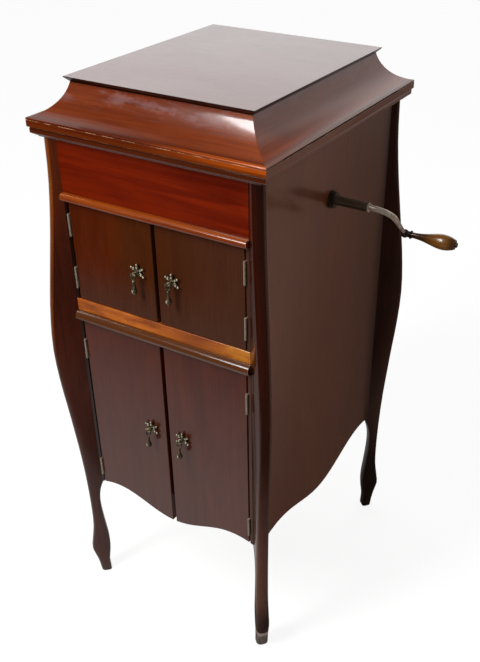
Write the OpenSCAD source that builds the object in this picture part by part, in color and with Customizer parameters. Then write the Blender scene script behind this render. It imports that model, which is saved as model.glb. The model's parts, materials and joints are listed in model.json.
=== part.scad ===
// Floor-standing cabinet gramophone with a coved lid, two pairs of doors and a side crank.
// Origin on the floor under the middle of the carcass, +Z up, front towards -Y, crank towards +X.

/* [Carcass] */
// Width of the carcass over its side panels
cab_w = 374; // [350:2:400]
// Depth of the carcass over its front and back
cab_d = 452; // [430:2:480]
// Height of the carcass top above the floor
cab_top = 915; // [900:1:930]
// Thickness of the side and front boards
board_t = 14; // [12:1:16]
// Thickness of the back panel
back_t = 8; // [6:1:10]
// How far the back panel sits in from the rear plane
back_inset = 3; // [1:1:5]
// Thickness of the inner shelves
shelf_t = 12; // [10:1:14]

/* [Front] */
// Height of the lower edge of the fascia
fascia_z = 828; // [825:1:835]
// Height of the bead under the fascia
bead_h = 13; // [10:1:14]
// How far the two beads stand proud
bead_out = 10; // [6:1:12]
// Height of the upper doors
upper_door_h = 171; // [165:1:174]
// Height of the rail between the pairs of doors
mid_rail_h = 22; // [20:1:26]
// Height of the bead under the middle rail
mid_bead_h = 19; // [16:1:22]
// Thickness of the doors
door_t = 16; // [14:1:18]
// Gap above and below a door
door_gap = 1.5; // [1:0.25:2.5]
// Gap between the two doors of a pair
door_meet = 7; // [4:0.5:8]
// Width of the fixed stile beside each hinge, at the front plane
stile_w = 6; // [5:0.5:8]

/* [Aprons] */
// Lowest point of the front apron
front_low = 217; // [205:1:225]
// Rise of the front apron to its crests
front_rise = 30.5; // [24:0.5:34]
// Distance from the middle of the front to a crest
front_wave = 128; // [115:1:140]
// Lowest point of the side apron
side_low = 221.5; // [210:0.5:228]
// Rise of the side apron to its crests
side_rise = 33; // [26:0.5:36]
// Distance from the middle of a side to a crest
side_wave = 165; // [150:1:180]

/* [Legs] */
// Thickness of the diagonal leg planks
leg_t = 22; // [20:1:24]
// Depth of a leg behind the carcass corner
leg_root = 24; // [22:1:28]
// Swell of the leg in front of the corner at its knee
knee_out = 41; // [30:1:44]
// Height of the knee
knee_z = 548; // [520:1:580]
// Swell of the leg in front of the corner at its toe
toe_out = 25.5; // [20:0.5:28]
// Rounding of the outer leg edges
leg_round = 8; // [5:0.5:10]

/* [Lid] */
// Width of the lid at its widest edge
lid_w = 420; // [410:2:430]
// Depth of the lid at its widest edge
lid_d = 488; // [482:2:504]
// How far the lid's rear edge stands behind the carcass
rear_over = 18; // [14:1:22]
// How far the cove round the lid runs in from its edge
cove_in = 51; // [46:1:54]
// Rise of the cove
cove_h = 49; // [46:0.5:52]
// Radius of the cove's arc
cove_r = 67; // [60:1:80]
// Height of the plain edge under the cove
lid_edge = 2.5; // [2:0.25:4]
// Thickness of the flat top board
lip_t = 7.5; // [6:0.5:9]
// How far the top board overhangs the cove
lip_over = 7; // [2:0.5:8]
// Wall left inside the cove at its thinnest
lid_wall = 9; // [7:0.5:11]
// Gap between the closed lid and the cabinet
lid_gap = 0.5; // [0.3:0.1:0.8]
// Height of the relief under the lid's side edges
side_relief = 1.2; // [0.6:0.1:2]
// Angle to which the lid opens
lid_angle = 74; // [60:1:75]

/* [Top moulding] */
// Height of the whole moulding
mould_h = 25.5; // [24:0.5:30]
// Height of its upper fillet
fillet_h = 10.5; // [9:0.5:12]
// Height of the groove between the fillets
step_h = 1; // [0.5:0.25:2]
// Height of its lower fillet
fillet2_h = 7.5; // [6:0.5:9]
// How far the lower fillet is set back
fillet_back = 2.5; // [1.5:0.5:4]

/* [Brass hinges] */
// Length of a door hinge
hinge_len = 38; // [34:1:46]
// Radius of a hinge knuckle
knuckle_r = 1.9; // [1.7:0.1:2.6]
// Radius of a hinge pin
hinge_pin_r = 0.9; // [0.8:0.1:1.1]
// Thickness of a hinge leaf
leaf_t = 1; // [0.8:0.1:1.2]
// Gap between the two leaves of a closed hinge
leaf_gap = 0.4; // [0.3:0.1:0.6]
// Distance of a hinge's end from the door's end
hinge_inset = 20; // [16:1:28]
// Distance of the lower doors' top hinges from the doors' tops
lower_hinge_inset = 36; // [20:1:44]
// Width of a lid hinge's leaf
lid_leaf_w = 12; // [9:0.5:13]
// Length of a lid hinge
lid_hinge_len = 60; // [50:1:70]
// Distance of a lid hinge from the middle
lid_hinge_x = 105; // [90:1:120]

/* [Drop handles] */
// Distance of a handle from the middle of the front
handle_x = 33; // [30:1:40]
// Height of the upper handles' pivots
upper_handle_z = 725.5; // [715:0.5:732]
// Height of the lower handles' pivots
lower_handle_z = 422; // [410:1:430]
// Distance of a pivot in front of the door
handle_out = 14; // [12:0.5:16]
// Length of a drop below its pivot
drop_len = 36; // [30:1:40]
// Greatest radius of a drop
drop_r = 5; // [4.5:0.25:6]

/* [Crank] */
// Place of the crank axis, front to back
crank_y = -4; // [-10:1:4]
// Height of the crank axis
crank_z = 813; // [810:1:816]
// Length of the sleeve outside the cabinet
sleeve_len = 66; // [60:1:75]
// Radius of the sleeve
sleeve_r = 7.5; // [7:0.25:8]
// Radius of the escutcheon
escutcheon_r = 14.5; // [13:0.5:18]
// Throw of the crank
crank_throw = 93; // [80:1:105]
// Angle of the crank at rest, from straight back
crank_angle = -42; // [-60:1:-20]
// Distance of the arm from the side panel
crank_reach = 101; // [98:1:115]
// Radius of the bend of the crank
crank_bend = 30; // [20:0.5:34]
// Length of the wooden grip
grip_len = 74; // [65:1:80]
// Greatest radius of the grip
grip_r = 12.5; // [11:0.25:14]

/* [Motor board] */
// Depth of the motor board's top below the cabinet rim
deck_depth = 47.5; // [46:0.5:50]
// Thickness of the motor board
deck_t = 12; // [10:1:13]
// Clearance round the motor board
deck_clear = 1; // [0.5:0.25:2]

/* [Turntable] */
// Place of the spindle, front to back
spindle_y = -36; // [-40:1:-30]
// Radius of the spindle
spindle_r = 4; // [3.6:0.1:4.4]
// Radius of the pin that takes a record
record_pin_r = 3.6; // [3.4:0.05:3.7]
// Height of the record pin above the felt
record_pin_h = 14; // [10:1:16]
// Diameter of the turntable
platter_d = 254; // [245:1:256]
// Height of the turntable's top above the motor board
platter_z = 22.5; // [20:0.5:24]
// Depth of the turntable's rim
rim_h = 14; // [11:1:16]
// Thickness of the felt
felt_t = 1.5; // [1:0.25:2]

/* [Tone arm] */
// Place of the arm's pivot, left to right, in a lid 300 wide inside
arm_x = 88; // [84:1:92]
// Place of the arm's pivot, front to back
arm_y = 138; // [132:1:142]
// Length of the arm from its pivot to the sound box
arm_len = 200; // [194:1:204]
// Angle of the parked arm
arm_rest = 6.5; // [5:0.5:8]
// Radius of the arm at its pivot
arm_r = 12; // [10:0.5:13]
// Radius of the arm at its end
arm_end_r = 8; // [7:0.5:9]
// Radius of the sound box
box_r = 25; // [22:0.5:26]
// Thickness of the sound box
box_t = 14; // [12:0.5:16]
// Length of needle below the sound box
needle_len = 13; // [11:0.5:15]
// Height of the needle's point above the felt
needle_lift = 2; // [1:0.25:3]

/* [Motor] */
// Teeth of the great wheel on the spring barrel
great_teeth = 52; // [48:1:56]
// Teeth of the spindle pinion
pinion_teeth = 13; // [12:1:15]
// Module of that pair
great_module = 2; // [1.8:0.05:2.1]
// Teeth of the governor wheel
gov_wheel_teeth = 38; // [34:1:40]
// Teeth of the governor pinion
gov_pinion_teeth = 10; // [10:1:12]
// Module of that pair
gov_module = 1.5; // [1.3:0.05:1.6]
// Teeth of each mitre gear
mitre_teeth = 16; // [16:2:18]
// Module of the mitre gears
mitre_module = 2.25; // [2:0.05:2.3]
// Radius of the spring barrel
barrel_r = 44; // [40:0.5:46]
// Radius of the motor's shafts
shaft_r = 5; // [4.5:0.1:5.4]
// Thickness of the motor plates
plate_t = 4; // [3:0.5:5]

/* [Records and horn] */
// Number of dividers in the record cupboard
divider_count = 3; // [2:1:4]
// Thickness of a divider
divider_t = 6; // [4:1:8]
// Height of the cupboard floor
floor_z = 262; // [258:1:275]
// Wall of the horn
horn_wall = 5; // [4:0.5:6]
// Number of slats in the horn's mouth
slat_count = 5; // [4:1:6]
// Thickness of a slat
slat_t = 4; // [3:0.5:5]

/* [Hidden] */
$fn = 48;
fit = 0.05;
seat = 0.3;
half_w = cab_w / 2;
half_d = cab_d / 2;
front_y = -half_d;
rim_z = cab_top + mould_h;
lid_z = rim_z + lid_gap;
cove_z = lid_z + lid_edge;
lip_z = cove_z + cove_h;
cove_chord = norm([cove_in, cove_h]);
cove_off = sqrt(pow(cove_r, 2) - pow(cove_chord / 2, 2));
cove_out = cove_off * cove_h / cove_chord - cove_in / 2;
cove_up = cove_off * cove_in / cove_chord + cove_h / 2;
in_w = half_w - board_t;
in_d = half_d - board_t;
back_in = half_d - back_inset - back_t;
face_x = half_w - leg_t / sqrt(2);
face_y = half_d - leg_t / sqrt(2);
edge_gap = 2 * leaf_t + leaf_gap;
hinge_x = face_x - stile_w - edge_gap / 2;
knuckle_gap = 0.2;
hinge_y = front_y - knuckle_r - knuckle_gap;
leaf_w = stile_w - seat;
door_edge = hinge_x - edge_gap / 2;
stile_edge = hinge_x + edge_gap / 2;
upper_top = fascia_z - bead_h - door_gap;
upper_bottom = upper_top - upper_door_h;
rail_top = upper_bottom - door_gap;
rail_z = rail_top - mid_rail_h;
lower_top = rail_z - mid_bead_h - door_gap;
shelf_up = 2;
shelf_z = rail_z + shelf_up;
shelf_top = shelf_z + shelf_t;
floor_top = floor_z + shelf_t;
deck_z = rim_z - deck_depth;
deck_under = deck_z - deck_t;
felt_z = deck_z + platter_z;
needle_z = felt_z + felt_t + needle_lift;
box_z = needle_z + needle_len + box_r;
crank_x = half_w;
hub_len = 12;
grip_x = crank_reach + hub_len;
bush_h = 6;
bush_wall = 3;
top_plate_z = deck_under - bush_h - plate_t;
motor_drop = 37;
bottom_plate_z = crank_z - motor_drop;
great_r = great_teeth * great_module / 2;
great_mesh = (great_teeth + pinion_teeth) * great_module / 2;
mitre_r = mitre_teeth * mitre_module / 2;
mitre_face = 8;
barrel_y = crank_y;
barrel_x = sqrt(pow(great_mesh, 2) - pow(barrel_y - spindle_y, 2));
great_angle = atan2(barrel_y - spindle_y, barrel_x);
great_t = 5;
great_gap = 2;
great_z = top_plate_z - great_gap - great_t;
barrel_lift = 5;
barrel_z = crank_z + mitre_r + barrel_lift;
gov_mesh = (gov_wheel_teeth + gov_pinion_teeth) * gov_module / 2;
gov_angle = 200;
gov_x = gov_mesh * cos(gov_angle);
gov_y = spindle_y + gov_mesh * sin(gov_angle);
gov_lift = 4;
gov_z = bottom_plate_z + plate_t + gov_lift;
gov_t = 4;
stay_r = 200;
stay_t = 3;
stay_band = 10;
guide_t = 2;
guide_down = 9;
guide_z = rim_z - guide_down;
lid_in = lid_w / 2 - cove_in - lid_wall;
lid_back = half_d + rear_over;
lid_front = lid_back - lid_d;
lid_mid = (lid_back + lid_front) / 2;
stay_inset = 4;
stay_x = -min(lid_in, in_w) + stay_inset;
arm_lid = 150;
pivot_x = arm_x + lid_in - arm_lid;
lid_axis_y = lid_back + knuckle_r + knuckle_gap;
lid_axis_z = rim_z + lid_gap / 2;
arc_rings = 32;

// Radial swell of a leg outside the carcass corner: [height, distance]
leg_outer = [[0, 13], [25, 16.5], [42, 20.5], [62, toe_out], [85, 22.5], [120, 17.5], [165, 16.3],
    [230, 17.6], [300, 21.3], [400, knee_out - 10.8], [480, knee_out - 2.8], [knee_z, knee_out],
    [620, knee_out - 5.2], [700, knee_out - 15.8], [780, 14.6], [850, 7.8], [cab_top, 5.5]];
// Inner edge of a leg, negative inside the corner
leg_inner = [[0, -4], [28, -3], [50, -6], [72, -8], [95, -7.6], [125, -5], [170, -2], [195, -2.6],
    [212, -5], [228, -10], [245, -18], [262, -leg_root], [cab_top, -leg_root]];
leg_step = 30;
leg_levels = concat([for (z = [0 : 10 : 120]) z], [for (z = [140 : 20 : 180]) z],
    [for (z = [195 : 11 : 272]) z], [for (z = [300 : leg_step : cab_top - leg_step / 2]) z], [cab_top]);

// Smooth curve through a list of [height, value] knots
function knot_slope(k, i) = let (a = max(i - 1, 0), b = min(i + 1, len(k) - 1))
    (k[b][1] - k[a][1]) / (k[b][0] - k[a][0]);
function knot_before(k, z) = max([for (j = [0 : len(k) - 2]) if (z >= k[j][0]) j]);
function smooth(k, z) = let (
    i = knot_before(k, z),
    h = k[i + 1][0] - k[i][0],
    t = (z - k[i][0]) / h,
    a = (2 * t + 1) * pow(1 - t, 2) * k[i][1],
    b = t * pow(1 - t, 2) * h * knot_slope(k, i),
    c = t * t * (3 - 2 * t) * k[i + 1][1],
    d = t * t * (t - 1) * h * knot_slope(k, i + 1))
    a + b + c + d;

// Serpentine lower edge: a cosine that is lowest in the middle
function apron(u, low, rise, wave) = low + rise * (1 - cos(180 * u / wave)) / 2;
function front_apron(x) = apron(x, front_low, front_rise, front_wave);
function side_apron(y) = apron(y, side_low, side_rise, side_wave);
function span(a, b, n) = [for (i = [0 : n]) a + (b - a) * i / n];

// Boards drawn in their own plane, then stood up
module board_yz(x, t) { translate([x, 0, 0]) rotate([90, 0, 90]) linear_extrude(t) children(); }
module board_xz(y, t) { translate([0, y + t, 0]) rotate([90, 0, 0]) linear_extrude(t) children(); }
module along_x(x) { translate([x, 0, 0]) rotate([0, 90, 0]) children(); }
module block(a, b) { translate(a) cube(b - a); }

// Space that the four leg planks take out of the carcass boards
module leg_slots(clear) {
    for (sx = [-1, 1], sy = [-1, 1])
        translate([sx * half_w, sy * half_d, 0]) rotate([0, 0, atan2(sy, sx)])
            translate([-leg_root - clear, -leg_t / 2 - clear, -1])
                cube([leg_root + clear + knee_out, leg_t + 2 * clear, cab_top + 2]);
}
module notch_legs(clear) {
    difference() {
        children();
        leg_slots(clear);
    }
}
// Space between two neighbouring legs: its ends are the legs' own faces
module between_legs(face, plane, turn) {
    far = 3 * leg_t;
    intersection() {
        children();
        rotate([0, 0, turn]) linear_extrude(cab_top + 1) polygon([[face + far, -plane - far],
            [-face - far, -plane - far], [-face + far, -plane + far], [face - far, -plane + far]]);
    }
}
module at_front() { between_legs(face_x, half_d, 0) children(); }
module at_back() { between_legs(face_x, half_d, 180) children(); }
module at_side(s) { between_legs(face_y, half_w, 90 * s) children(); }

// Legs: planks set diagonally, lofted through rounded sections
function leg_section(z) = let (
    o = smooth(leg_outer, z),
    i = max(-leg_root, smooth(leg_inner, z)),
    h = leg_t / 2,
    r = min(leg_round, h - 1, (o - i) / 2 - 0.5),
    q = min(leg_round / 2, (o - i) / 2 - 0.5))
    concat([for (a = [-90 : 22.5 : 0]) [o - r + r * cos(a), -h + r + r * sin(a), z]],
        [for (a = [0 : 22.5 : 90]) [o - r + r * cos(a), h - r + r * sin(a), z]],
        [for (a = [90 : 45 : 180]) [i + q + q * cos(a), h - q + q * sin(a), z]],
        [for (a = [180 : 45 : 270]) [i + q + q * cos(a), -h + q + q * sin(a), z]]);
function loft_faces(n, m) = concat(
    [[for (j = [0 : m - 1]) j]],
    [for (i = [0 : n - 2], j = [0 : m - 1]) [i * m + j, (i + 1) * m + j, i * m + (j + 1) % m]],
    [for (i = [0 : n - 2], j = [0 : m - 1])
        [i * m + (j + 1) % m, (i + 1) * m + j, (i + 1) * m + (j + 1) % m]],
    [[for (j = [0 : m - 1]) (n - 1) * m + m - 1 - j]]);
module leg(sx, sy) {
    rings = [for (z = leg_levels) leg_section(z)];
    points = [for (ring = rings) each ring];
    color("saddlebrown") translate([sx * half_w, sy * half_d, 0]) rotate([0, 0, atan2(sy, sx)])
        polyhedron(points, loft_faces(len(rings), len(rings[0])), convexity = 4);
}
module leg_front_left() { leg(-1, -1); }
module leg_front_right() { leg(1, -1); }
module leg_rear_left() { leg(-1, 1); }
module leg_rear_right() { leg(1, 1); }

// Carcass
module side_outline() {
    polygon(concat([for (y = span(-half_d, half_d, arc_rings)) [y, side_apron(y)]],
        [[half_d, cab_top], [-half_d, cab_top]]));
}
module side_panel_left() {
    color("sienna") at_side(-1) board_yz(-half_w, board_t) side_outline();
}
module side_panel_right() {
    color("sienna") difference() {
        at_side(1) board_yz(in_w, board_t) side_outline();
        translate([0, crank_y, crank_z]) along_x(in_w - 1)
            cylinder(r = sleeve_r + bush_wall, h = board_t + 2);
    }
}
module back_panel() {
    color("saddlebrown") at_back()
        block([-half_w, back_in, floor_z], [half_w, back_in + back_t, cab_top]);
}
module fascia() {
    color("brown") at_front() block([-half_w, front_y, fascia_z], [half_w, front_y + board_t, cab_top]);
}
module bead_profile(h, out) {
    r = h / 2;
    intersection() {
        translate([out - r, r]) circle(r);
        square([out + 1, h]);
    }
    square([out - r, h]);
}
module bead(z, h) {
    at_front() translate([-face_x, front_y + board_t, z]) rotate([90, 0, 90])
        linear_extrude(2 * face_x) mirror([1, 0]) bead_profile(h, bead_out + board_t);
}
module fascia_bead() { color("peru") bead(fascia_z - bead_h, bead_h); }
module mid_bead() { color("peru") bead(rail_z - mid_bead_h, mid_bead_h); }
module mid_rail() {
    color("chocolate") at_front() block([-half_w, front_y, rail_z], [half_w, front_y + door_t, rail_top]);
}
module front_stiles() {
    color("saddlebrown") at_front() for (s = [-1, 1]) scale([s, 1, 1]) {
        block([stile_edge, front_y, rail_top], [half_w, front_y + door_t, fascia_z - bead_h]);
        board_xz(front_y, door_t) polygon(concat(
            [for (x = span(stile_edge, half_w, 4)) [x, front_apron(x)]],
            [[half_w, rail_z - mid_bead_h], [stile_edge, rail_z - mid_bead_h]]));
    }
}

// Moulding round the cabinet's rim: fillet, groove, rounded fillet and ogee
member_round = 2;
groove_in = 4;
foot_out = 9;
well_w = min(in_w, lid_w / 2 - board_t);
well_front = max(-in_d, lid_front + board_t);
function ogee(z, top, edge, foot) = [foot + (edge - foot) * (1 - cos(180 * z / top)) / 2, z];
function mould_side(edge, foot) = let (
    back = edge - fillet_back,
    ogee_h = mould_h - fillet_h - step_h - fillet2_h,
    top = ogee_h + fillet2_h,
    r = member_round)
    concat([for (z = span(0, ogee_h, 8)) ogee(z, ogee_h, back, foot)],
        [for (a = [0 : 22.5 : 90]) [back - r + r * cos(a), top - r + r * sin(a)]],
        [[back - groove_in, top], [back - groove_in, top + step_h], [edge, top + step_h], [edge, mould_h]]);
module mould_outline(edge, foot) {
    side = mould_side(edge, foot);
    polygon(concat(side, [for (i = [len(side) - 1 : -1 : 0]) [-side[i][0], side[i][1]]]));
}
module lid_hinge_seats(z, h) {
    for (s = [-1, 1])
        translate([s * lid_hinge_x - lid_hinge_len / 2 - fit, lid_back - lid_leaf_w - fit, z])
            cube([lid_hinge_len + 2 * fit, 2 * lid_leaf_w, h]);
}
module top_moulding() {
    color("peru") difference() {
        intersection() {
            translate([0, lid_back + 1, cab_top]) rotate([90, 0, 0]) linear_extrude(lid_d + 2)
                mould_outline(lid_w / 2, half_w + foot_out);
            translate([-lid_w / 2 - 1, lid_mid, cab_top]) rotate([90, 0, 90]) linear_extrude(lid_w + 2)
                mould_outline(lid_d / 2, half_d + foot_out - lid_mid);
        }
        block([-well_w, well_front, cab_top - 1], [well_w, in_d, rim_z + 1]);
        lid_hinge_seats(rim_z - leaf_t, leaf_t + 1);
    }
}

// Lid: a flat board on a coved frame
relief_in = 8;
relief_front = 45;
relief_rear = 70;
module cove_outline(edge) {
    difference() {
        translate([-edge, 0]) square([2 * edge, lip_z - lid_z]);
        for (s = [-1, 1]) translate([s * (edge + cove_out), lid_edge + cove_up]) circle(cove_r, $fn = 96);
    }
}
module lid_cove() {
    w = lid_w / 2;
    wall = cove_in + lid_wall;
    color("brown") difference() {
        intersection() {
            translate([0, lid_back, lid_z]) rotate([90, 0, 0]) linear_extrude(lid_d) cove_outline(w);
            translate([-w, lid_mid, lid_z]) rotate([90, 0, 90]) linear_extrude(lid_w)
                cove_outline(lid_d / 2);
        }
        block([-lid_in, lid_front + wall, lid_z - 1], [lid_in, lid_back - wall, lip_z + 1]);
        lid_hinge_seats(lid_z - 1, leaf_t + 1);
        for (s = [-1, 1]) scale([s, 1, 1]) block([w - relief_in, lid_front + relief_front, lid_z - 1],
            [w + 1, lid_back - relief_rear, lid_z + side_relief]);
    }
}
// The top board's edge is undercut below a thin square arris
lip_arris = 1.2;
lip_foot = 0.5;
module lip_outline(edge) {
    foot = edge - lip_over + lip_foot;
    arris = lip_t - lip_arris;
    polygon([[-foot, 0], [foot, 0], [edge, arris], [edge, lip_t], [-edge, lip_t], [-edge, arris]]);
}
module lid_top() {
    w = lid_w / 2 - cove_in + lip_over;
    d = lid_d / 2 - cove_in + lip_over;
    color("rosybrown") intersection() {
        translate([0, lid_mid + d + 1, lip_z]) rotate([90, 0, 0]) linear_extrude(2 * d + 2) lip_outline(w);
        translate([-w - 1, lid_mid, lip_z]) rotate([90, 0, 90]) linear_extrude(2 * w + 2) lip_outline(d);
    }
}

// Butt hinges: knuckles on the line of the joint, leaves let into the edges
module knuckles(len, parts, bore) {
    seg = len / 3;
    for (i = parts) translate([0, 0, i * seg + fit]) difference() {
        cylinder(r = knuckle_r, h = seg - 2 * fit);
        if (bore) translate([0, 0, -1]) cylinder(r = hinge_pin_r + fit, h = seg + 2);
    }
}
// The leaf lies on the side of the pin that side points to, and reaches back into the joint
module hinge_leaf(len, parts, side) {
    seg = len / 3;
    reach = knuckle_r + knuckle_gap + leaf_w;
    inner = leaf_gap / 2;
    x = side > 0 ? inner : -inner - leaf_t;
    for (i = parts)
        translate([x, 0, i * seg + fit]) cube([leaf_t, reach, seg - 2 * fit]);
    translate([x, knuckle_r + knuckle_gap, 0]) cube([leaf_t, leaf_w, len]);
}
module fixed_hinge(len, side) {
    knuckles(len, [0, 2], false);
    cylinder(r = hinge_pin_r, h = len);
    hinge_leaf(len, [0, 2], side);
}
module moving_hinge(len, side) {
    difference() {
        union() {
            knuckles(len, [1], false);
            hinge_leaf(len, [1], side);
        }
        translate([0, 0, -1]) cylinder(r = hinge_pin_r + fit, h = len + 2);
    }
}
upper_hinges = [upper_bottom + hinge_inset, upper_top - hinge_inset - hinge_len];
lower_hinges = [front_apron(hinge_x) + hinge_inset, lower_top - lower_hinge_inset - hinge_len];
module place_hinges(s, heights) {
    for (z = heights) translate([s * hinge_x, hinge_y, z]) children();
}
module fixed_hinge_leaves() {
    color("gold") {
        for (s = [-1, 1]) place_hinges(s, concat(upper_hinges, lower_hinges)) fixed_hinge(hinge_len, s);
        place_lid_hinges() lid_leaf([0, 2], -1, false);
    }
}
module door_hinges(s, heights) {
    color("gold") place_hinges(s, heights) moving_hinge(hinge_len, -s);
}
module upper_left_hinges() { door_hinges(-1, upper_hinges); }
module upper_right_hinges() { door_hinges(1, upper_hinges); }
module lower_left_hinges() { door_hinges(-1, lower_hinges); }
module lower_right_hinges() { door_hinges(1, lower_hinges); }
// Turned so that the pin lies along X and the leaf reaches forwards into the lid's joint
module place_lid_hinges() {
    for (s = [-1, 1])
        translate([s * lid_hinge_x - lid_hinge_len / 2, lid_axis_y, lid_axis_z]) rotate([90, 0, 90])
            rotate([0, 0, 90]) children();
}
module lid_hinge_straps() { color("gold") place_lid_hinges() lid_leaf([1], 1, true); }
module lid_leaf(parts, side, bored) {
    difference() {
        union() {
            knuckles(lid_hinge_len, parts, false);
            lid_leaf_plate(parts, side);
        }
        if (bored) translate([0, 0, -1]) cylinder(r = hinge_pin_r + fit, h = lid_hinge_len + 2);
    }
    if (!bored) cylinder(r = hinge_pin_r, h = lid_hinge_len);
}
module lid_leaf_plate(parts, side) {
    seg = lid_hinge_len / 3;
    inner = lid_gap / 2;
    x = side > 0 ? inner : -inner - leaf_t;
    for (i = parts) translate([x, 0, i * seg + fit]) cube([leaf_t, knuckle_r + 1, seg - 2 * fit]);
    translate([x, knuckle_gap + knuckle_r, 0]) cube([leaf_t, lid_leaf_w, lid_hinge_len]);
}

// Quadrant stay: a band struck from the lid's hinge, running through a guide on the well's wall
stay_rise = 22;
stay_spare = 5;
stay_start = asin((lid_z - lid_axis_z + stay_rise) / stay_r);
stay_lug_w = 18;
stay_lug_z = 14;
stay_y = lid_axis_y - stay_r;
module stay_band_shape(from, to) {
    rotate([0, 0, from]) rotate_extrude(angle = to - from, $fn = 96)
        translate([stay_r - stay_band / 2, 0]) square([stay_band, stay_t]);
}
module lid_stay() {
    color("gold") {
        translate([stay_x, lid_axis_y, lid_axis_z]) rotate([90, 0, 90])
            stay_band_shape(180 - stay_start, 180 + lid_angle + stay_spare);
        block([-lid_in, stay_y - stay_lug_w / 2, lid_z + stay_lug_z],
            [stay_x, stay_y + stay_lug_w / 2, lid_z + stay_lug_z + stay_rise]);
    }
}
function stay_y_at(z) = lid_axis_y - stay_r * cos(asin((lid_axis_z - z) / stay_r));
slot_before = 5;
slot_after = 7;
module stay_slot(y, z, h, clear) {
    translate([stay_x - clear, y - stay_band / 2 - slot_before, z])
        cube([stay_t + 2 * clear, stay_band + slot_before + slot_after, h]);
}
// The guide is an angle bracket on the side of the well, just under the rim
guide_half = 22;
guide_leg = 16;
guide_lip = 7;
module stay_guide() {
    low = stay_y - guide_half;
    high = stay_y + guide_half;
    color("gold") difference() {
        union() {
            block([-in_w, low, guide_z], [stay_x + stay_t + guide_lip, high, guide_z + guide_t]);
            block([-in_w, low, guide_z - guide_leg], [-in_w + guide_t, high, guide_z + guide_t]);
        }
        stay_slot(stay_y, guide_z - 1, guide_t + 2, seat);
    }
}

// Doors
module upper_door(s) {
    color("saddlebrown") scale([s, 1, 1])
        block([door_meet / 2, front_y, upper_bottom], [door_edge, front_y + door_t, upper_top]);
}
module lower_door(s) {
    color("saddlebrown") scale([s, 1, 1]) board_xz(front_y, door_t)
        polygon(concat([for (x = span(door_meet / 2, door_edge, arc_rings / 2)) [x, front_apron(x)]],
            [[door_edge, lower_top], [door_meet / 2, lower_top]]));
}
module upper_door_left() { upper_door(-1); }
module upper_door_right() { upper_door(1); }
module lower_door_left() { lower_door(-1); }
module lower_door_right() { lower_door(1); }

// Drop handles: a leafy plate with a post and cross pin, and a pear drop on a forked bail
plate_back = 2.5;
plate_boss_r = 6;
leaf_fan = [90, 34, 146, -28, 208];
leaf_top = 15;
leaf_fall = 0.015;
leaf_wide = 6;
bail_pin_r = 1.2;
bail_half = 5;
bail_len = 16;
lug_r = 2.4;
lug_in = 3;
post_r = 2;
post_foot_r = 4.5;
module leaf_shape(len, wide) {
    r = (pow(len, 2) / 4 + pow(wide, 2) / 4) / wide;
    intersection() {
        translate([len / 2, r - wide / 2]) circle(r);
        translate([len / 2, wide / 2 - r]) circle(r);
    }
}
module handle_plate(s, z) {
    color("darkgoldenrod") translate([s * handle_x, front_y, z]) {
        rotate([90, 0, 0]) linear_extrude(plate_back) {
            circle(plate_boss_r);
            for (a = leaf_fan) rotate(a) leaf_shape(leaf_top - leaf_fall * abs(a - 90), leaf_wide);
        }
        rotate([90, 0, 0]) cylinder(r1 = post_foot_r, r2 = post_r, h = handle_out - lug_r - seat);
        rotate([90, 0, 0]) cylinder(r = post_r, h = handle_out + post_r);
        translate([0, -handle_out, 0]) along_x(-bail_half) cylinder(r = bail_pin_r, h = 2 * bail_half);
    }
}
module upper_left_plate() { handle_plate(-1, upper_handle_z); }
module upper_right_plate() { handle_plate(1, upper_handle_z); }
module lower_left_plate() { handle_plate(-1, lower_handle_z); }
module lower_right_plate() { handle_plate(1, lower_handle_z); }
strand_r = 1;
strand_x = (bail_half + lug_in) / 2;
strand_lean = atan((strand_x - strand_r) / bail_len);
drop_neck_r = 1.4;
function drop_radius(t) = drop_neck_r + (drop_r - drop_neck_r) * pow(sin(180 * pow(t, 1.7)), 1.2);
module drop(s, z) {
    pear = drop_len - bail_len;
    color("darkgoldenrod") translate([s * handle_x, front_y - handle_out, z]) difference() {
        union() {
            for (m = [-1, 1]) {
                along_x(m > 0 ? lug_in : -bail_half) cylinder(r = lug_r, h = bail_half - lug_in);
                translate([m * strand_x, 0, 0]) rotate([0, 180 + m * strand_lean, 0])
                    cylinder(r = strand_r, h = bail_len + strand_r);
            }
            translate([0, 0, -drop_len]) rotate_extrude() polygon(concat([[0, 0]],
                [for (t = span(0, 1, 14)) [drop_radius(1 - t), t * pear]], [[0, pear]]));
        }
        along_x(-bail_half - 1) cylinder(r = bail_pin_r + fit, h = 2 * bail_half + 2);
    }
}
module upper_left_drop() { drop(-1, upper_handle_z); }
module upper_right_drop() { drop(1, upper_handle_z); }
module lower_left_drop() { drop(-1, lower_handle_z); }
module lower_right_drop() { drop(1, lower_handle_z); }

// Shelves, cupboard and horn
behind_doors = 2;
divider_back = 6;
scoop_r = 215;
scoop_front = 172;
module inner_board(z, t) {
    notch_legs(seat) block([-in_w, front_y + door_t + behind_doors, z], [in_w, back_in, z + t]);
}
module horn_shelf() { color("burlywood") inner_board(shelf_z, shelf_t); }
module cupboard_floor() { color("burlywood") inner_board(floor_z, shelf_t); }
module record_dividers() {
    y0 = front_y + door_t + divider_back;
    color("burlywood") for (i = [1 : divider_count])
        board_yz(-in_w + 2 * in_w * i / (divider_count + 1) - divider_t / 2, divider_t) difference() {
            translate([y0, floor_top]) square([back_in - y0, shelf_z - floor_top]);
            translate([y0 - scoop_front, (floor_top + shelf_z) / 2]) circle(scoop_r, $fn = 96);
        }
}
mouth_y = front_y + door_t + behind_doors;
mouth_in = 3;
mouth_w = hinge_x - mouth_in;
mouth_top = fascia_z - bead_h;
mouth_len = 18;
throat = 24;
horn_under = 11;
horn_fall = 30;
bend_fall = 39;
neck_y = 116;
neck_share = 0.76;
neck_shift = 0.1;
bend_y = 40;
bend_w = 70;
bend_shift = 0.55;
bend_flare = 6;
throat_flare = 2;
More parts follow.
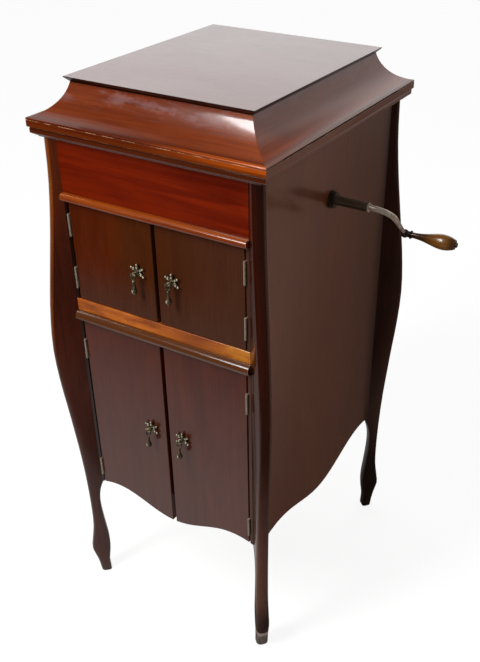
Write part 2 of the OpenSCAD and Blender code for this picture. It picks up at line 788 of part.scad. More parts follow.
function level_ring(y, x, w, top, bottom) =
    [[x - w, y, top], [x + w, y, top], [x + w, y, bottom], [x - w, y, bottom]];
function plan_ring(z, x, y, w) = [[x - w, y - w, z], [x + w, y - w, z], [x + w, y + w, z], [x - w, y + w, z]];
function bend_ring(x, w, y, half, top, bottom) =
    [[x - w, y - half, top], [x + w, y - half, top], [x + w, y + half, bottom], [x - w, y + half, bottom]];
function horn_rings(k, end) = let (b = shelf_top + k, under = bottom_plate_z - horn_under - k) [
    level_ring(mouth_y - end, 0, mouth_w - k, mouth_top - k, b),
    level_ring(mouth_y + mouth_len, 0, mouth_w - k, mouth_top - k, b),
    level_ring(front_y + neck_y, pivot_x * neck_shift, mouth_w * neck_share - k, under, b),
    level_ring(bend_y, pivot_x * bend_shift, bend_w - k, under - horn_fall, b),
    bend_ring(pivot_x, bend_w / 2 - k, arm_y, throat + bend_flare - k, under - bend_fall, b),
    plan_ring(crank_z - horn_under, pivot_x, arm_y, throat + throat_flare - k),
    plan_ring(deck_under + end, pivot_x, arm_y, throat - k)];
module loft(rings) {
    polyhedron([for (r = rings) each r], [for (f = loft_faces(len(rings), 4)) f], convexity = 6);
}
module horn() {
    color("tan") difference() {
        loft(horn_rings(0, 0));
        loft(horn_rings(horn_wall, 1));
    }
}
slat_w = 14;
slat_lean = 35;
module horn_slats() {
    pitch = (mouth_top - shelf_top) / (slat_count + 1);
    w = mouth_w - horn_wall;
    color("sienna") for (i = [1 : slat_count])
        translate([-w, mouth_y + mouth_len / 2 + 1, shelf_top + i * pitch]) rotate([slat_lean, 0, 0])
            translate([0, -slat_w / 2, -slat_t / 2]) cube([2 * w, slat_w, slat_t]);
}

// Motor board and what stands on it
arm_hole_r = 18;
spindle_hole = 4;
cup_r = 17;
cup_wall = 2;
cup_lip = 3;
cup_lip_t = 1.5;
cup_front = 28;
cup_places = [[100, -in_d + cup_front], [143, -in_d + cup_front]];
dial_place = [-128, 128];
cleat_w = 16;
cleat_h = 15;
cleat_end = 60;
module deck_cleats() {
    low = deck_under - cleat_h;
    color("burlywood") difference() {
        for (s = [-1, 1]) scale([s, 1, 1])
            block([in_w - cleat_w, -in_d + cleat_end, low], [in_w, in_d - cleat_end, deck_under]);
        stay_slot(stay_y_at(deck_under), low - 1, cleat_h + 2, 1);
    }
}
module motor_board() {
    w = in_w - deck_clear;
    d = in_d - deck_clear;
    h = deck_t + 2;
    color("maroon") difference() {
        notch_legs(deck_clear) block([-w, -d, deck_under], [w, d, deck_z]);
        translate([0, spindle_y, deck_under - 1]) cylinder(r = spindle_r + spindle_hole, h = h);
        translate([pivot_x, arm_y, deck_under - 1]) cylinder(r = arm_hole_r, h = h);
        for (p = cup_places) translate([p[0], p[1], deck_under - 1]) cylinder(r = cup_r, h = h);
        stay_slot(stay_y_at(deck_z), deck_under - 1, h, 1);
    }
}
module needle_cups() {
    color("silver") for (p = cup_places) translate([p[0], p[1], deck_z]) rotate_extrude() {
        translate([0, -deck_t]) square([cup_r - fit, cup_wall]);
        translate([cup_r - cup_wall, -deck_t]) square([cup_wall - fit, deck_t]);
        translate([cup_r - cup_wall, 0]) square([cup_wall + cup_lip, cup_lip_t]);
    }
}
// Speed regulator: a round dial with a stud, and a pointer with a knob that turns on it
dial_r = 22;
dial_t = 2;
dial_stud_r = 3;
dial_stud_h = 4;
pointer_t = 3;
pointer_w = 5;
pointer_hub_r = 7;
pointer_knob_r = 3.5;
pointer_knob_h = 7;
pointer_angle = -60;
module at_dial(h) { translate([dial_place[0], dial_place[1], deck_z + h]) children(); }
module speed_dial() {
    color("silver") at_dial(0) {
        cylinder(r = dial_r, h = dial_t);
        cylinder(r = dial_stud_r, h = dial_t + pointer_t + dial_stud_h);
    }
}
module speed_lever() {
    reach = dial_r - pointer_w / 2;
    color("silver") at_dial(dial_t + seat) rotate([0, 0, pointer_angle]) difference() {
        union() {
            cylinder(r = pointer_hub_r, h = pointer_t);
            translate([0, -pointer_w / 2, 0]) cube([reach, pointer_w, pointer_t]);
            translate([reach - pointer_knob_r, 0, 0])
                cylinder(r = pointer_knob_r, h = pointer_t + pointer_knob_h);
        }
        translate([0, 0, -1]) cylinder(r = dial_stud_r + fit, h = pointer_t + 2);
    }
}
// Brake: a lever along the turntable's rim, with a pad that swings in against it
brake_angle = 225;
brake_arm = 34;
brake_tail = 26;
brake_off = 10;
brake_gap = 0.4;
brake_t = 5;
brake_w = 6;
brake_pivot_r = 8;
brake_knob_h = 16;
brake_pad_w = 12;
brake_pad_low = 6;
brake_rim = platter_d / 2 + brake_off;
brake_x = brake_rim * cos(brake_angle) + brake_arm * sin(brake_angle);
brake_y = spindle_y + brake_rim * sin(brake_angle) - brake_arm * cos(brake_angle);
module brake_lever() {
    color("silver") translate([brake_x, brake_y, deck_z + seat]) rotate([0, 0, brake_angle + 90]) {
        cylinder(r = brake_pivot_r, h = brake_t);
        cylinder(r = brake_pivot_r / 2, h = brake_t + brake_w / 2);
        translate([-brake_tail, -brake_w / 2, 0]) cube([brake_tail + brake_arm, brake_w, brake_t]);
        translate([brake_arm - brake_pad_w / 2, -brake_w / 2, 0])
            cube([brake_pad_w, brake_w / 2 + brake_off - brake_gap, platter_z - brake_pad_low]);
        translate([-brake_tail, 0, 0]) cylinder(r = brake_w, h = brake_knob_h);
    }
}

// Turntable
web = 4;
hub_w = 10;
hub_lift = 8;
module turntable() {
    r = platter_d / 2;
    color("silver") translate([0, spindle_y, felt_z]) rotate_extrude($fn = 96) {
        translate([spindle_r, -web]) square([r - spindle_r, web]);
        translate([r - web, -rim_h]) square([web, rim_h]);
        translate([spindle_r, -platter_z + hub_lift]) square([hub_w, platter_z - hub_lift]);
    }
}
module turntable_felt() {
    color("darkgreen") translate([0, spindle_y, felt_z]) difference() {
        cylinder(r = platter_d / 2 - 1, h = felt_t, $fn = 96);
        translate([0, 0, -1]) cylinder(r = spindle_r + 1, h = felt_t + 2);
    }
}

// Gears: stub involute teeth, a tooth centred on local +X
pressure = 25;
root_share = 1.05;
root_clear = 0.1;
mitre_slack = 0.5;
mitre_high = 0.55;
function involute(rb, a) = rb * [cos(a) + a * PI / 180 * sin(a), sin(a) - a * PI / 180 * cos(a)];
function roll_at(rb, r) = r <= rb ? 0 : sqrt(pow(r / rb, 2) - 1) * 180 / PI;
function turn(p, a) = [p[0] * cos(a) - p[1] * sin(a), p[0] * sin(a) + p[1] * cos(a)];
function flank(n, m, slack, high) = let (
    r = n * m / 2,
    rb = r * cos(pressure),
    tip = r + high * m,
    root = r - root_share * high * m - root_clear * m,
    start = max(rb, root),
    centre = (tan(pressure) - pressure * PI / 180) * 180 / PI + 90 / n - slack / r * 90 / PI)
    concat([root * [cos(centre), -sin(centre)]],
        [for (t = span(0, 1, 3)) turn(involute(rb, roll_at(rb, start + t * (tip - start))), -centre)]);
function gear_points(n, m, slack, high) = [for (i = [0 : n - 1]) each
    let (f = flank(n, m, slack, high), a = 360 * i / n)
    concat([for (p = f) turn(p, a)], [for (j = [len(f) - 1 : -1 : 0]) turn([f[j][0], -f[j][1]], a)])];
module gear(n, m, h, slack = 0.3, high = 0.8) { linear_extrude(h) polygon(gear_points(n, m, slack, high)); }
// Mitre gear with its pitch cone's point at the origin and its back at height mitre_r
module mitre_gear() {
    small = mitre_r - mitre_face;
    translate([0, 0, small]) mirror([0, 0, 1]) translate([0, 0, -mitre_face])
        linear_extrude(mitre_face, scale = small / mitre_r)
            polygon(gear_points(mitre_teeth, mitre_module, mitre_slack, mitre_high));
}

// Spring motor under the board
spindle_step = 1;
pinion_over = 0.5;
arbor_step = 1.5;
module spindle() {
    low = bottom_plate_z + plate_t;
    color("lightsteelblue") translate([0, spindle_y, 0]) {
        translate([0, 0, low + fit]) cylinder(r = spindle_r, h = felt_z - low);
        translate([0, 0, bottom_plate_z]) cylinder(r = spindle_r - spindle_step, h = plate_t + 1);
        translate([0, 0, felt_z]) cylinder(r = record_pin_r, h = felt_t + record_pin_h);
        translate([0, 0, great_z - pinion_over]) rotate([0, 0, great_angle])
            gear(pinion_teeth, great_module, great_t + 2 * pinion_over);
        translate([0, 0, gov_z]) rotate([0, 0, gov_angle]) gear(gov_wheel_teeth, gov_module, gov_t);
    }
}
module spring_barrel() {
    color("goldenrod") translate([barrel_x, barrel_y, 0]) difference() {
        union() {
            translate([0, 0, barrel_z]) cylinder(r = barrel_r, h = great_z - barrel_z);
            translate([0, 0, great_z]) rotate([0, 0, great_angle + 180 + 180 / great_teeth])
                gear(great_teeth, great_module, great_t);
        }
        translate([0, 0, barrel_z - 1])
            cylinder(r = shaft_r + fit, h = great_z + great_t - barrel_z + 2);
    }
}
module winding_arbor() {
    color("lightsteelblue") translate([barrel_x, barrel_y, 0]) {
        translate([0, 0, bottom_plate_z + plate_t + fit])
            cylinder(r = shaft_r, h = top_plate_z - bottom_plate_z - plate_t - 2 * fit);
        translate([0, 0, bottom_plate_z])
            cylinder(r = shaft_r - arbor_step, h = top_plate_z + plate_t - bottom_plate_z);
        translate([0, 0, crank_z]) rotate([180, 0, 180 / mitre_teeth]) mitre_gear();
    }
}
socket_len = 7;
sleeve_gap = 1;
module winding_shaft() {
    x0 = barrel_x + mitre_r - mitre_face;
    color("lightsteelblue") translate([0, crank_y, crank_z]) {
        along_x(x0) cylinder(r = shaft_r, h = in_w - x0 + sleeve_gap + socket_len);
        translate([barrel_x, 0, 0]) rotate([0, 90, 0]) mitre_gear();
    }
}
gov_shaft_r = 3;
gov_pivot_r = 2;
gov_collar_r = 6;
gov_collar_h = 5;
gov_collar_z = 12;
gov_span = 38;
gov_disc_r = 20;
gov_disc_t = 2;
gov_disc_gap = 8;
gov_spring_t = 1;
gov_spring_w = 4;
gov_ball_r = 6;
gov_ball_out = 9;
module governor() {
    low = gov_z + gov_t + gov_collar_z;
    middle = low + (gov_span + gov_collar_h) / 2;
    color("goldenrod") translate([gov_x, gov_y, 0]) {
        translate([0, 0, bottom_plate_z + plate_t + fit])
            cylinder(r = gov_shaft_r, h = top_plate_z - bottom_plate_z - plate_t - 2 * fit);
        translate([0, 0, bottom_plate_z])
            cylinder(r = gov_pivot_r, h = top_plate_z + plate_t - bottom_plate_z);
        translate([0, 0, gov_z - 1]) rotate([0, 0, gov_angle + 180 + 180 / gov_pinion_teeth])
            gear(gov_pinion_teeth, gov_module, gov_t + 2);
        for (z = [low, low + gov_span]) translate([0, 0, z]) cylinder(r = gov_collar_r, h = gov_collar_h);
        translate([0, 0, low + gov_span + gov_disc_gap]) cylinder(r = gov_disc_r, h = gov_disc_t);
        for (a = [0 : 120 : 240]) rotate([0, 0, a]) {
            translate([gov_collar_r - gov_spring_t, -gov_spring_w / 2, low + 2])
                cube([gov_spring_t, gov_spring_w, gov_span + 1]);
            translate([gov_ball_out, 0, middle]) sphere(gov_ball_r);
        }
    }
}
frame_edge = 8;
frame_left = 34;
frame_front = 50;
pillar_r = 5;
pillar_in = 7;
bearing_half = 12;
module shaft_bores(x, y, r) {
    translate([x, y, bottom_plate_z - 1])
        cylinder(r = r + fit, h = top_plate_z + plate_t - bottom_plate_z + 2);
}
module motor_frame() {
    x0 = gov_x - frame_left;
    x1 = barrel_x + great_r + frame_edge;
    y0 = spindle_y - frame_front;
    y1 = barrel_y + great_r + frame_edge;
    pivot = spindle_r - spindle_step;
    color("dimgray") difference() {
        union() {
            for (z = [bottom_plate_z, top_plate_z]) block([x0, y0, z], [x1, y1, z + plate_t]);
            for (x = [x0 + pillar_in, x1 - pillar_in], y = [y0 + pillar_in, y1 - pillar_in])
                translate([x, y, bottom_plate_z]) cylinder(r = pillar_r, h = deck_under - bottom_plate_z);
            block([x1 - plate_t, crank_y - bearing_half, bottom_plate_z],
                [x1, crank_y + bearing_half, top_plate_z + plate_t]);
        }
        shaft_bores(barrel_x, barrel_y, shaft_r - arbor_step);
        shaft_bores(gov_x, gov_y, gov_pivot_r);
        translate([0, spindle_y, bottom_plate_z - 1]) cylinder(r = pivot + fit, h = plate_t + 2);
        translate([0, spindle_y, top_plate_z - 1]) cylinder(r = spindle_r + fit, h = plate_t + 2);
        translate([0, crank_y, crank_z]) along_x(x1 - plate_t - 1)
            cylinder(r = shaft_r + fit, h = plate_t + 2);
    }
}

// Crank: two rings on the side panel, a sleeve, a tapering bent arm and a turned grip on a pin
ring_h = 4;
ring2_h = 3.5;
ring_step = 1.5;
ring_groove = 1;
groove_depth = 2.5;
sleeve_ring = 0.3;
sleeve_ring_h = 1.5;
rod_start_r = 5.2;
rod_r = 4.6;
rod_end_r = 2.5;
hub_r = 7;
hub_neck_r = 5;
flange_r = 6.8;
flange_t = 2;
grip_pin_r = 2.5;
pin_head_r = 4;
pin_head_t = 3;
grip_neck_r = 4.6;
module crank_escutcheon() {
    outside = ring_h + ring_groove + ring2_h;
    color("darkslategray") translate([0, crank_y, crank_z]) difference() {
        union() {
            along_x(half_w) cylinder(r = escutcheon_r, h = ring_h);
            along_x(half_w) cylinder(r = escutcheon_r - groove_depth, h = outside);
            along_x(half_w + ring_h + ring_groove) cylinder(r = escutcheon_r - ring_step, h = ring2_h);
            along_x(in_w) cylinder(r = sleeve_r + bush_wall - fit, h = board_t);
        }
        along_x(in_w - 1) cylinder(r = sleeve_r + fit, h = board_t + outside + 2);
    }
}
module crank_arm() {
    bend_x = crank_reach - crank_bend;
    inside = board_t - sleeve_gap;
    color("lightslategray") translate([crank_x, crank_y, crank_z]) rotate([crank_angle, 0, 0]) {
        along_x(-inside) difference() {
            cylinder(r = sleeve_r, h = inside + sleeve_len);
            translate([0, 0, -1]) cylinder(r = shaft_r, h = socket_len + 1);
        }
        along_x(sleeve_len - sleeve_ring_h) cylinder(r = sleeve_r + sleeve_ring, h = sleeve_ring_h);
        along_x(sleeve_len - 1) cylinder(r1 = rod_start_r, r2 = rod_r, h = bend_x - sleeve_len + 1);
        translate([bend_x, crank_bend, 0]) rotate([0, 0, -90]) rotate_extrude(angle = 90)
            translate([crank_bend, 0]) circle(rod_r);
        translate([crank_reach, crank_bend, 0]) rotate([-90, 0, 0])
            cylinder(r1 = rod_r, r2 = rod_end_r, h = crank_throw - crank_bend);
        translate([0, crank_throw, 0]) {
            translate([crank_reach, 0, 0]) sphere(hub_r);
            along_x(crank_reach) cylinder(r = hub_neck_r, h = hub_len - seat);
            along_x(grip_x - flange_t - seat) cylinder(r = flange_r, h = flange_t);
            along_x(crank_reach) cylinder(r = grip_pin_r, h = hub_len + grip_len + pin_head_t);
            along_x(grip_x + grip_len + seat) cylinder(r = pin_head_r, h = pin_head_t);
        }
    }
}
function grip_radius(t) = grip_neck_r + (grip_r - grip_neck_r) * pow(sin(180 * pow(t, 1.6) * 0.83), 1.3);
module crank_grip() {
    bore = grip_pin_r + fit;
    color("orange") translate([crank_x, crank_y, crank_z]) rotate([crank_angle, 0, 0])
        translate([grip_x, crank_throw, 0]) rotate([0, 90, 0]) rotate_extrude()
            polygon(concat([[bore, 0]], [for (t = span(0, 1, 16)) [grip_radius(t), t * grip_len]],
                [[bore, grip_len]]));
}

// Tone arm and sound box, drawn with the arm along -Y and turned to its rest
neck_len = 12;
neck_over = 6;
neck_step = 0.5;
bracket_r = 30;
bracket_t = 4;
bracket_cone_r = 24;
bracket_cone_h = 10;
bracket_h = 24;
stub_wall = 2;
collar_wall = 5;
collar_t = 4;
arm_wall = 3;
bar_t = 2.5;
bar_w = 4;
needle_r = 0.9;
needle_point_r = 0.4;
needle_x = 1.2;
gasket_w = 4;
face_in = 5;
face_deep = 2;
module on_arm() { translate([pivot_x, arm_y, 0]) rotate([0, 0, arm_rest]) children(); }
module arm_bracket() {
    low = deck_under - bracket_t;
    color("silver") translate([pivot_x, arm_y, 0]) difference() {
        union() {
            translate([0, 0, deck_z]) cylinder(r = bracket_r, h = bracket_t);
            translate([0, 0, deck_z + bracket_t])
                cylinder(r1 = bracket_cone_r, r2 = arm_hole_r, h = bracket_cone_h);
            translate([0, 0, low]) cylinder(r = arm_hole_r - fit, h = deck_z + bracket_h - low);
        }
        translate([0, 0, low - 1]) cylinder(r = arm_r + stub_wall + fit, h = deck_z + bracket_h - low + 2);
    }
}
module tone_arm() {
    collar_z = deck_z + bracket_h + seat;
    color("silver") on_arm() difference() {
        union() {
            translate([0, 0, deck_under]) cylinder(r = arm_r + stub_wall, h = collar_z - deck_under);
            translate([0, 0, collar_z]) cylinder(r = arm_r + collar_wall, h = collar_t);
            translate([0, 0, collar_z]) cylinder(r = arm_r, h = box_z - collar_z);
            translate([0, 0, box_z]) sphere(arm_r);
            translate([0, 0, box_z]) rotate([90, 0, 0]) cylinder(r1 = arm_r, r2 = arm_end_r, h = arm_len);
            translate([0, -arm_len, box_z]) sphere(arm_end_r);
            translate([0, -arm_len, box_z]) along_x(0)
                cylinder(r = arm_end_r - neck_step, h = neck_len + neck_over);
        }
        translate([0, 0, deck_under - 1]) cylinder(r = arm_r - arm_wall, h = box_z - deck_under);
    }
}
module sound_box() {
    face = neck_len + box_t;
    color("silver") on_arm() translate([0, -arm_len, box_z]) difference() {
        union() {
            along_x(neck_len) cylinder(r = box_r, h = box_t);
            along_x(neck_len - gasket_w + 1) cylinder(r = arm_end_r + gasket_w, h = gasket_w);
            translate([face, -bar_w / 2, -box_r - bar_w]) cube([bar_t, bar_w, box_r + bar_w]);
            translate([face + needle_x, 0, -box_r - needle_len])
                cylinder(r1 = needle_point_r, r2 = needle_r, h = needle_len);
            along_x(face) cylinder(r = bar_w - 1, h = bar_t);
        }
        along_x(neck_len - gasket_w)
            cylinder(r = arm_end_r - neck_step + fit, h = gasket_w + neck_over + seat);
        along_x(face - face_deep) difference() {
            cylinder(r = box_r - face_in, h = face_deep + 1);
            translate([0, 0, -1]) cylinder(r = bar_w, h = face_deep + 4);
        }
    }
}

leg_front_left();
leg_front_right();
leg_rear_left();
leg_rear_right();
side_panel_left();
side_panel_right();
back_panel();
fascia();
fascia_bead();
mid_rail();
mid_bead();
front_stiles();
top_moulding();
deck_cleats();
motor_board();
horn_shelf();
cupboard_floor();
record_dividers();
horn();
horn_slats();
crank_escutcheon();
fixed_hinge_leaves();
stay_guide();
motor_frame();
arm_bracket();
needle_cups();
speed_dial();
lid_top();
lid_cove();
lid_hinge_straps();
lid_stay();
upper_door_left();
upper_door_right();
lower_door_left();
lower_door_right();
upper_left_hinges();
upper_right_hinges();
lower_left_hinges();
lower_right_hinges();
upper_left_plate();
upper_right_plate();
lower_left_plate();
lower_right_plate();
upper_left_drop();
upper_right_drop();
lower_left_drop();
lower_right_drop();
turntable();
turntable_felt();
spindle();
spring_barrel();
winding_arbor();
governor();
winding_shaft();
crank_arm();
crank_grip();
tone_arm();
sound_box();
brake_lever();
speed_lever();
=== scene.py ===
import json
import math

import bpy
from mathutils import Matrix, Vector

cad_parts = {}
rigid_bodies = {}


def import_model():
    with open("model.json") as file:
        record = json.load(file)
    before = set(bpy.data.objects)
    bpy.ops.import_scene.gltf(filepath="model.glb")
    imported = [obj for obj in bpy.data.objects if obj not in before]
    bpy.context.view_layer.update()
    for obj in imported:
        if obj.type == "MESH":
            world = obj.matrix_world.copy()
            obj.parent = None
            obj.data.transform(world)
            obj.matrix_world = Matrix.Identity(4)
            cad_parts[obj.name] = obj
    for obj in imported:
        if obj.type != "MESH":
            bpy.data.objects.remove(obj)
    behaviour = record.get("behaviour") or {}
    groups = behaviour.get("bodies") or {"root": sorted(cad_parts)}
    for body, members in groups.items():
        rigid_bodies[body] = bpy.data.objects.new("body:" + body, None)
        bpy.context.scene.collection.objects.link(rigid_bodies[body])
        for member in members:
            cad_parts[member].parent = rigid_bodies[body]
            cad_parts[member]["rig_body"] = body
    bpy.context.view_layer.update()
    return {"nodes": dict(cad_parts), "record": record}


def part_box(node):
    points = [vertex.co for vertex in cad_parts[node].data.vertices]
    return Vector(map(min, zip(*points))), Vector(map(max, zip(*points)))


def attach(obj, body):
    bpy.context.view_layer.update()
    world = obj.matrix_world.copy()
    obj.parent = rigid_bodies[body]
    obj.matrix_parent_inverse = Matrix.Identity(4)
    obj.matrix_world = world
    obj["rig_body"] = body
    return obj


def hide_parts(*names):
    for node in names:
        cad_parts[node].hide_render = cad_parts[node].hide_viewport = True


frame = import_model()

# Studio: a white sheet on the floor of a pale room, and one tall soft lamp high in front on the left.
# In the polish the sheet ends close to the object, with a dim warm side and a pale far end past it.
# The camera looks down on the near corner, with its frame slightly raised and moved left.
EYE = Vector((0.7743, -1.1878, 1.3533))
LOOK = Vector((-0.4243, 0.7134, -0.5577))
PHOTO_H = 662
FOCAL_PX = 883.2
AXIS_RIGHT_PX = 28.15
AXIS_DOWN_PX = 49.42
SENSOR = 36


class Shade:
    """A shader socket that takes part in sums as a number does, and adds the nodes around it."""

    def __init__(self, tree, socket=None):
        self.tree = tree
        self.socket = socket

    def node(self, kind, out=0, sockets=None, **settings):
        """One output of a new node: its settings are made first, then its sockets filled or linked."""
        made = self.tree.nodes.new("ShaderNode" + kind)
        for setting, value in settings.items():
            setattr(made, setting, value)
        for name, value in (sockets or {}).items():
            if isinstance(value, Shade):
                self.tree.links.new(value.socket, made.inputs[name])
            else:
                made.inputs[name].default_value = value
        return Shade(self.tree, made.outputs[out] if made.outputs else None)

    def math(self, operation, a, b=0.0):
        return self.node("Math", sockets={0: a, 1: b}, operation=operation)

    def between(self, low, high):
        """0 below low, 1 above high, and smooth between them."""
        return self.node("MapRange", interpolation_type="SMOOTHSTEP",
                         sockets={"Value": self, "From Min": low, "From Max": high})

    def tint(self, first, second):
        """The colour that goes from first to second as this value goes from 0 to 1."""
        return self.node("Mix", out=2, data_type="RGBA", sockets={0: self, 6: first, 7: second})

    def __add__(self, other):
        return self.math("ADD", self, other)

    def __radd__(self, other):
        return self.math("ADD", other, self)

    def __sub__(self, other):
        return self.math("SUBTRACT", self, other)

    def __rsub__(self, other):
        return self.math("SUBTRACT", other, self)

    def __mul__(self, other):
        return self.math("MULTIPLY", self, other)

    def __rmul__(self, other):
        return self.math("MULTIPLY", other, self)

    def __gt__(self, other):
        return self.math("GREATER_THAN", self, other)

    def __abs__(self):
        return self.math("ABSOLUTE", self)


def rgb(red, green, blue):
    return (red, green, blue, 1)


def axes(paint, coordinates="Object"):
    """A place, or a direction in the room, as its x, y and z."""
    here = paint.node("TexCoord", out=coordinates)
    return tuple(paint.node("SeparateXYZ", out=i, sockets={0: here}) for i in range(3))


def rays(paint):
    """Whether a ray comes from the camera, and whether it comes from a mirror or from glass."""
    seen, glossy, through = (paint.node("LightPath", out=f"Is {kind} Ray")
                             for kind in ("Camera", "Glossy", "Transmission"))
    return seen, glossy + through


camera = bpy.data.cameras.new("camera")
camera.lens = FOCAL_PX * SENSOR / PHOTO_H
camera.sensor_width = SENSOR
camera.shift_x = -AXIS_RIGHT_PX / PHOTO_H
camera.shift_y = AXIS_DOWN_PX / PHOTO_H
viewer = bpy.data.objects.new("camera", camera)
viewer.location = EYE
viewer.rotation_euler = LOOK.to_track_quat("-Z", "Y").to_euler()
bpy.context.scene.collection.objects.link(viewer)
bpy.context.scene.camera = viewer
bpy.context.scene.view_settings.view_transform = "Standard"

FLOOR_SIZE = 40
FLOOR_DROP = 0.0005
SHEET_FRONT = (-1.3, -0.52)
SHEET_SIDE = (-0.02, 0.16)
SHEET_GLOW = 0.42
PAPER_GLOW = 0.86
WALL_FOOT = (0.28, 0.46)
WALL_START = (-0.2, 0.3)
WALL_SLANT = 0.42
WALL_GLOW = 0.24
FAR_END = (2.5, 5)
FAR_GLOW = 0.27
DIM_GLOW = 0.08
bpy.ops.object.select_all(action="DESELECT")
bpy.ops.mesh.primitive_plane_add(size=FLOOR_SIZE, location=(0, 0, -FLOOR_DROP))
floor = bpy.context.object
floor.name = "floor"
black = rgb(0, 0, 0)
white = rgb(1, 1, 1)
warm = rgb(1, 0.66, 0.54)
sheet = bpy.data.materials.new("white_sheet")
sheet.use_nodes = True
sheet.node_tree.nodes.clear()
paint = Shade(sheet.node_tree)
seen, mirrored = rays(paint)
right, back, _ = axes(paint)
in_front = back.between(*SHEET_FRONT)
beside = right.between(*SHEET_SIDE)
lit_wall = (right - back * WALL_SLANT).between(*WALL_FOOT) * back.between(*WALL_START)
distant = back.between(*FAR_END)
dim_side = DIM_GLOW + lit_wall * WALL_GLOW + distant * FAR_GLOW
sheet_glow = in_front * (1 - beside) * SHEET_GLOW + beside * dim_side
glow_colour = (beside * (1 - distant)).tint(white, warm)
image = paint.node("Emission", sockets={"Color": sheet_glow.tint(black, glow_colour)})
matt = paint.node("BsdfDiffuse", sockets={"Color": rgb(0.8, 0.8, 0.8)})
shadow = paint.node("BsdfDiffuse", sockets={"Color": rgb(0.25, 0.25, 0.25)})
bright = paint.node("Emission", sockets={"Color": white, "Strength": PAPER_GLOW})
paper = paint.node("AddShader", sockets={0: shadow, 1: bright})
unseen = paint.node("MixShader", sockets={0: mirrored, 1: matt, 2: image})
surface = paint.node("MixShader", sockets={0: seen, 1: unseen, 2: paper})
paint.node("OutputMaterial", sockets={"Surface": surface})
floor.data.materials.append(sheet)

SKY_BACK = (-0.3, 0.5)
SKY_SIDE = (-0.1, 0.45)
SKY_SIDE_LOSS = 0.7
SKY_GLOW = 0.85
ROOM_SHADE = 0.15
FAR_WALL = (-0.05, 0.35)
FAR_WALL_SIDE = (0.0, 0.45)
FAR_WALL_SIDE_LOSS = 0.5
FAR_WALL_TOP = (0.45, 0.6)
WINDOW_SIDE = (0.56, 0.68)
WINDOW_GLOW = 0.6
MIRROR_SHADE = 0.005
room = bpy.data.worlds.new("pale_room")
bpy.context.scene.world = room
room.use_nodes = True
room.node_tree.nodes.clear()
air = Shade(room.node_tree)
seen, mirrored = rays(air)
right, away, up = axes(air, "Generated")
sky = away.between(*SKY_BACK) * (1 - right.between(*SKY_SIDE) * SKY_SIDE_LOSS)
low = 1 - up.between(*FAR_WALL_TOP)
window = (0 - right).between(*WINDOW_SIDE) * WINDOW_GLOW
far_wall = away.between(*FAR_WALL) * (1 - right.between(*FAR_WALL_SIDE) * FAR_WALL_SIDE_LOSS)
far_wall = far_wall * (low + (1 - low) * window)
lighting = (1 - seen - mirrored) * (sky * SKY_GLOW + ROOM_SHADE)
level = seen + mirrored * (far_wall + MIRROR_SHADE) + lighting
backdrop = air.node("Background", sockets={"Color": white, "Strength": level})
air.node("OutputWorld", sockets={"Surface": backdrop})

LAMP_PLACE = Vector((-0.52, -1.4, 2.1))
LAMP_AIM = Vector((0.0, -0.1, 0.75))
LAMP_WIDTH = 0.52
LAMP_HEIGHT = 1.25
LAMP_POWER = 32.5
lamp = bpy.data.lights.new("key_lamp", "AREA")
lamp.shape = "RECTANGLE"
lamp.size = LAMP_WIDTH
lamp.size_y = LAMP_HEIGHT
lamp.energy = LAMP_POWER
holder = bpy.data.objects.new("key_lamp", lamp)
holder.location = LAMP_PLACE
holder.rotation_euler = (LAMP_AIM - LAMP_PLACE).to_track_quat("-Z", "Y").to_euler()
bpy.context.scene.collection.objects.link(holder)

# Legs: four mahogany planks set cornerwise, sawn to a swelling outline and rounded on their outer edges.
# They carry the whole carcass, and their French polish is the darkest on the cabinet.
# As on every board here, pores and streaks lie along the grain, and broad figure drifts across it.
SWELL = 0.003
SWELL_TOP = 0.235
SWELL_FULL = 0.085
FACES_OUT = 0.5
SAME_PLACE = 0.000002
SAME_PLANE = math.radians(0.3)
QUAD_FLATNESS = math.radians(60)
QUAD_SQUARENESS = math.radians(70)
LEG_SMOOTH = math.radians(50)
LIT_RED_TOP = (0.7, 0.9)
LEFT_REFLECTED_HAZE = (0.62, 0.45)
LEFT_DUST = (0.05, 0.0)
RIGHT_REFLECTED_HAZE = (0.5, 0.2)
SHADED_RIGHT_ANKLE = (0.13, 0.065)
CHIPPED_TOE = (0.041, 0.037)
DUSTY_TOE = (0.030, 0.026)
REAR_REFLECTED_HAZE = (0.45, 0.25)
REAR_ANKLE = (0.22, 0.10)
LIGHT_FADES_BELOW = (0.62, 0.48)
PORE = rgb(0.012, 0.004, 0.002)
GRAIN_CONTRAST = 2.1


def new_finish(name):
    material = bpy.data.materials.new(name)
    material.use_nodes = True
    return material, Shade(material.node_tree)


def set_shader(material, **inputs):
    """Fills the sockets of a material's own shader with numbers or links."""
    shader = material.node_tree.nodes["Principled BSDF"]
    for name, value in inputs.items():
        socket = shader.inputs[name.replace("_", " ")]
        if isinstance(value, Shade):
            material.node_tree.links.new(value.socket, socket)
        else:
            socket.default_value = value
    return material


def board_axes(paint, grain, mitre):
    """Object coordinates as (along, across, through) the grain, and where a mitred frame's sides are.

    mitre is half a frame's width less half its depth: the grain turns where the frame's sides begin.
    """
    x, y, z = axes(paint)
    if mitre is not None:
        side = (abs(x) - abs(y)) > mitre
        return x + side * (y - x), y + side * (x - y), z, side
    return {"x": (x, y, z, None), "y": (y, x, z, None), "z": (z, x, y, None)}[grain]


def fade(axis, band, colour, share, patchy=False):
    """Where a finish goes over to another colour by a share, evenly or in patches.

    band is where this starts and where it is full, along the axis.
    """
    return axis, band, colour, share, patchy


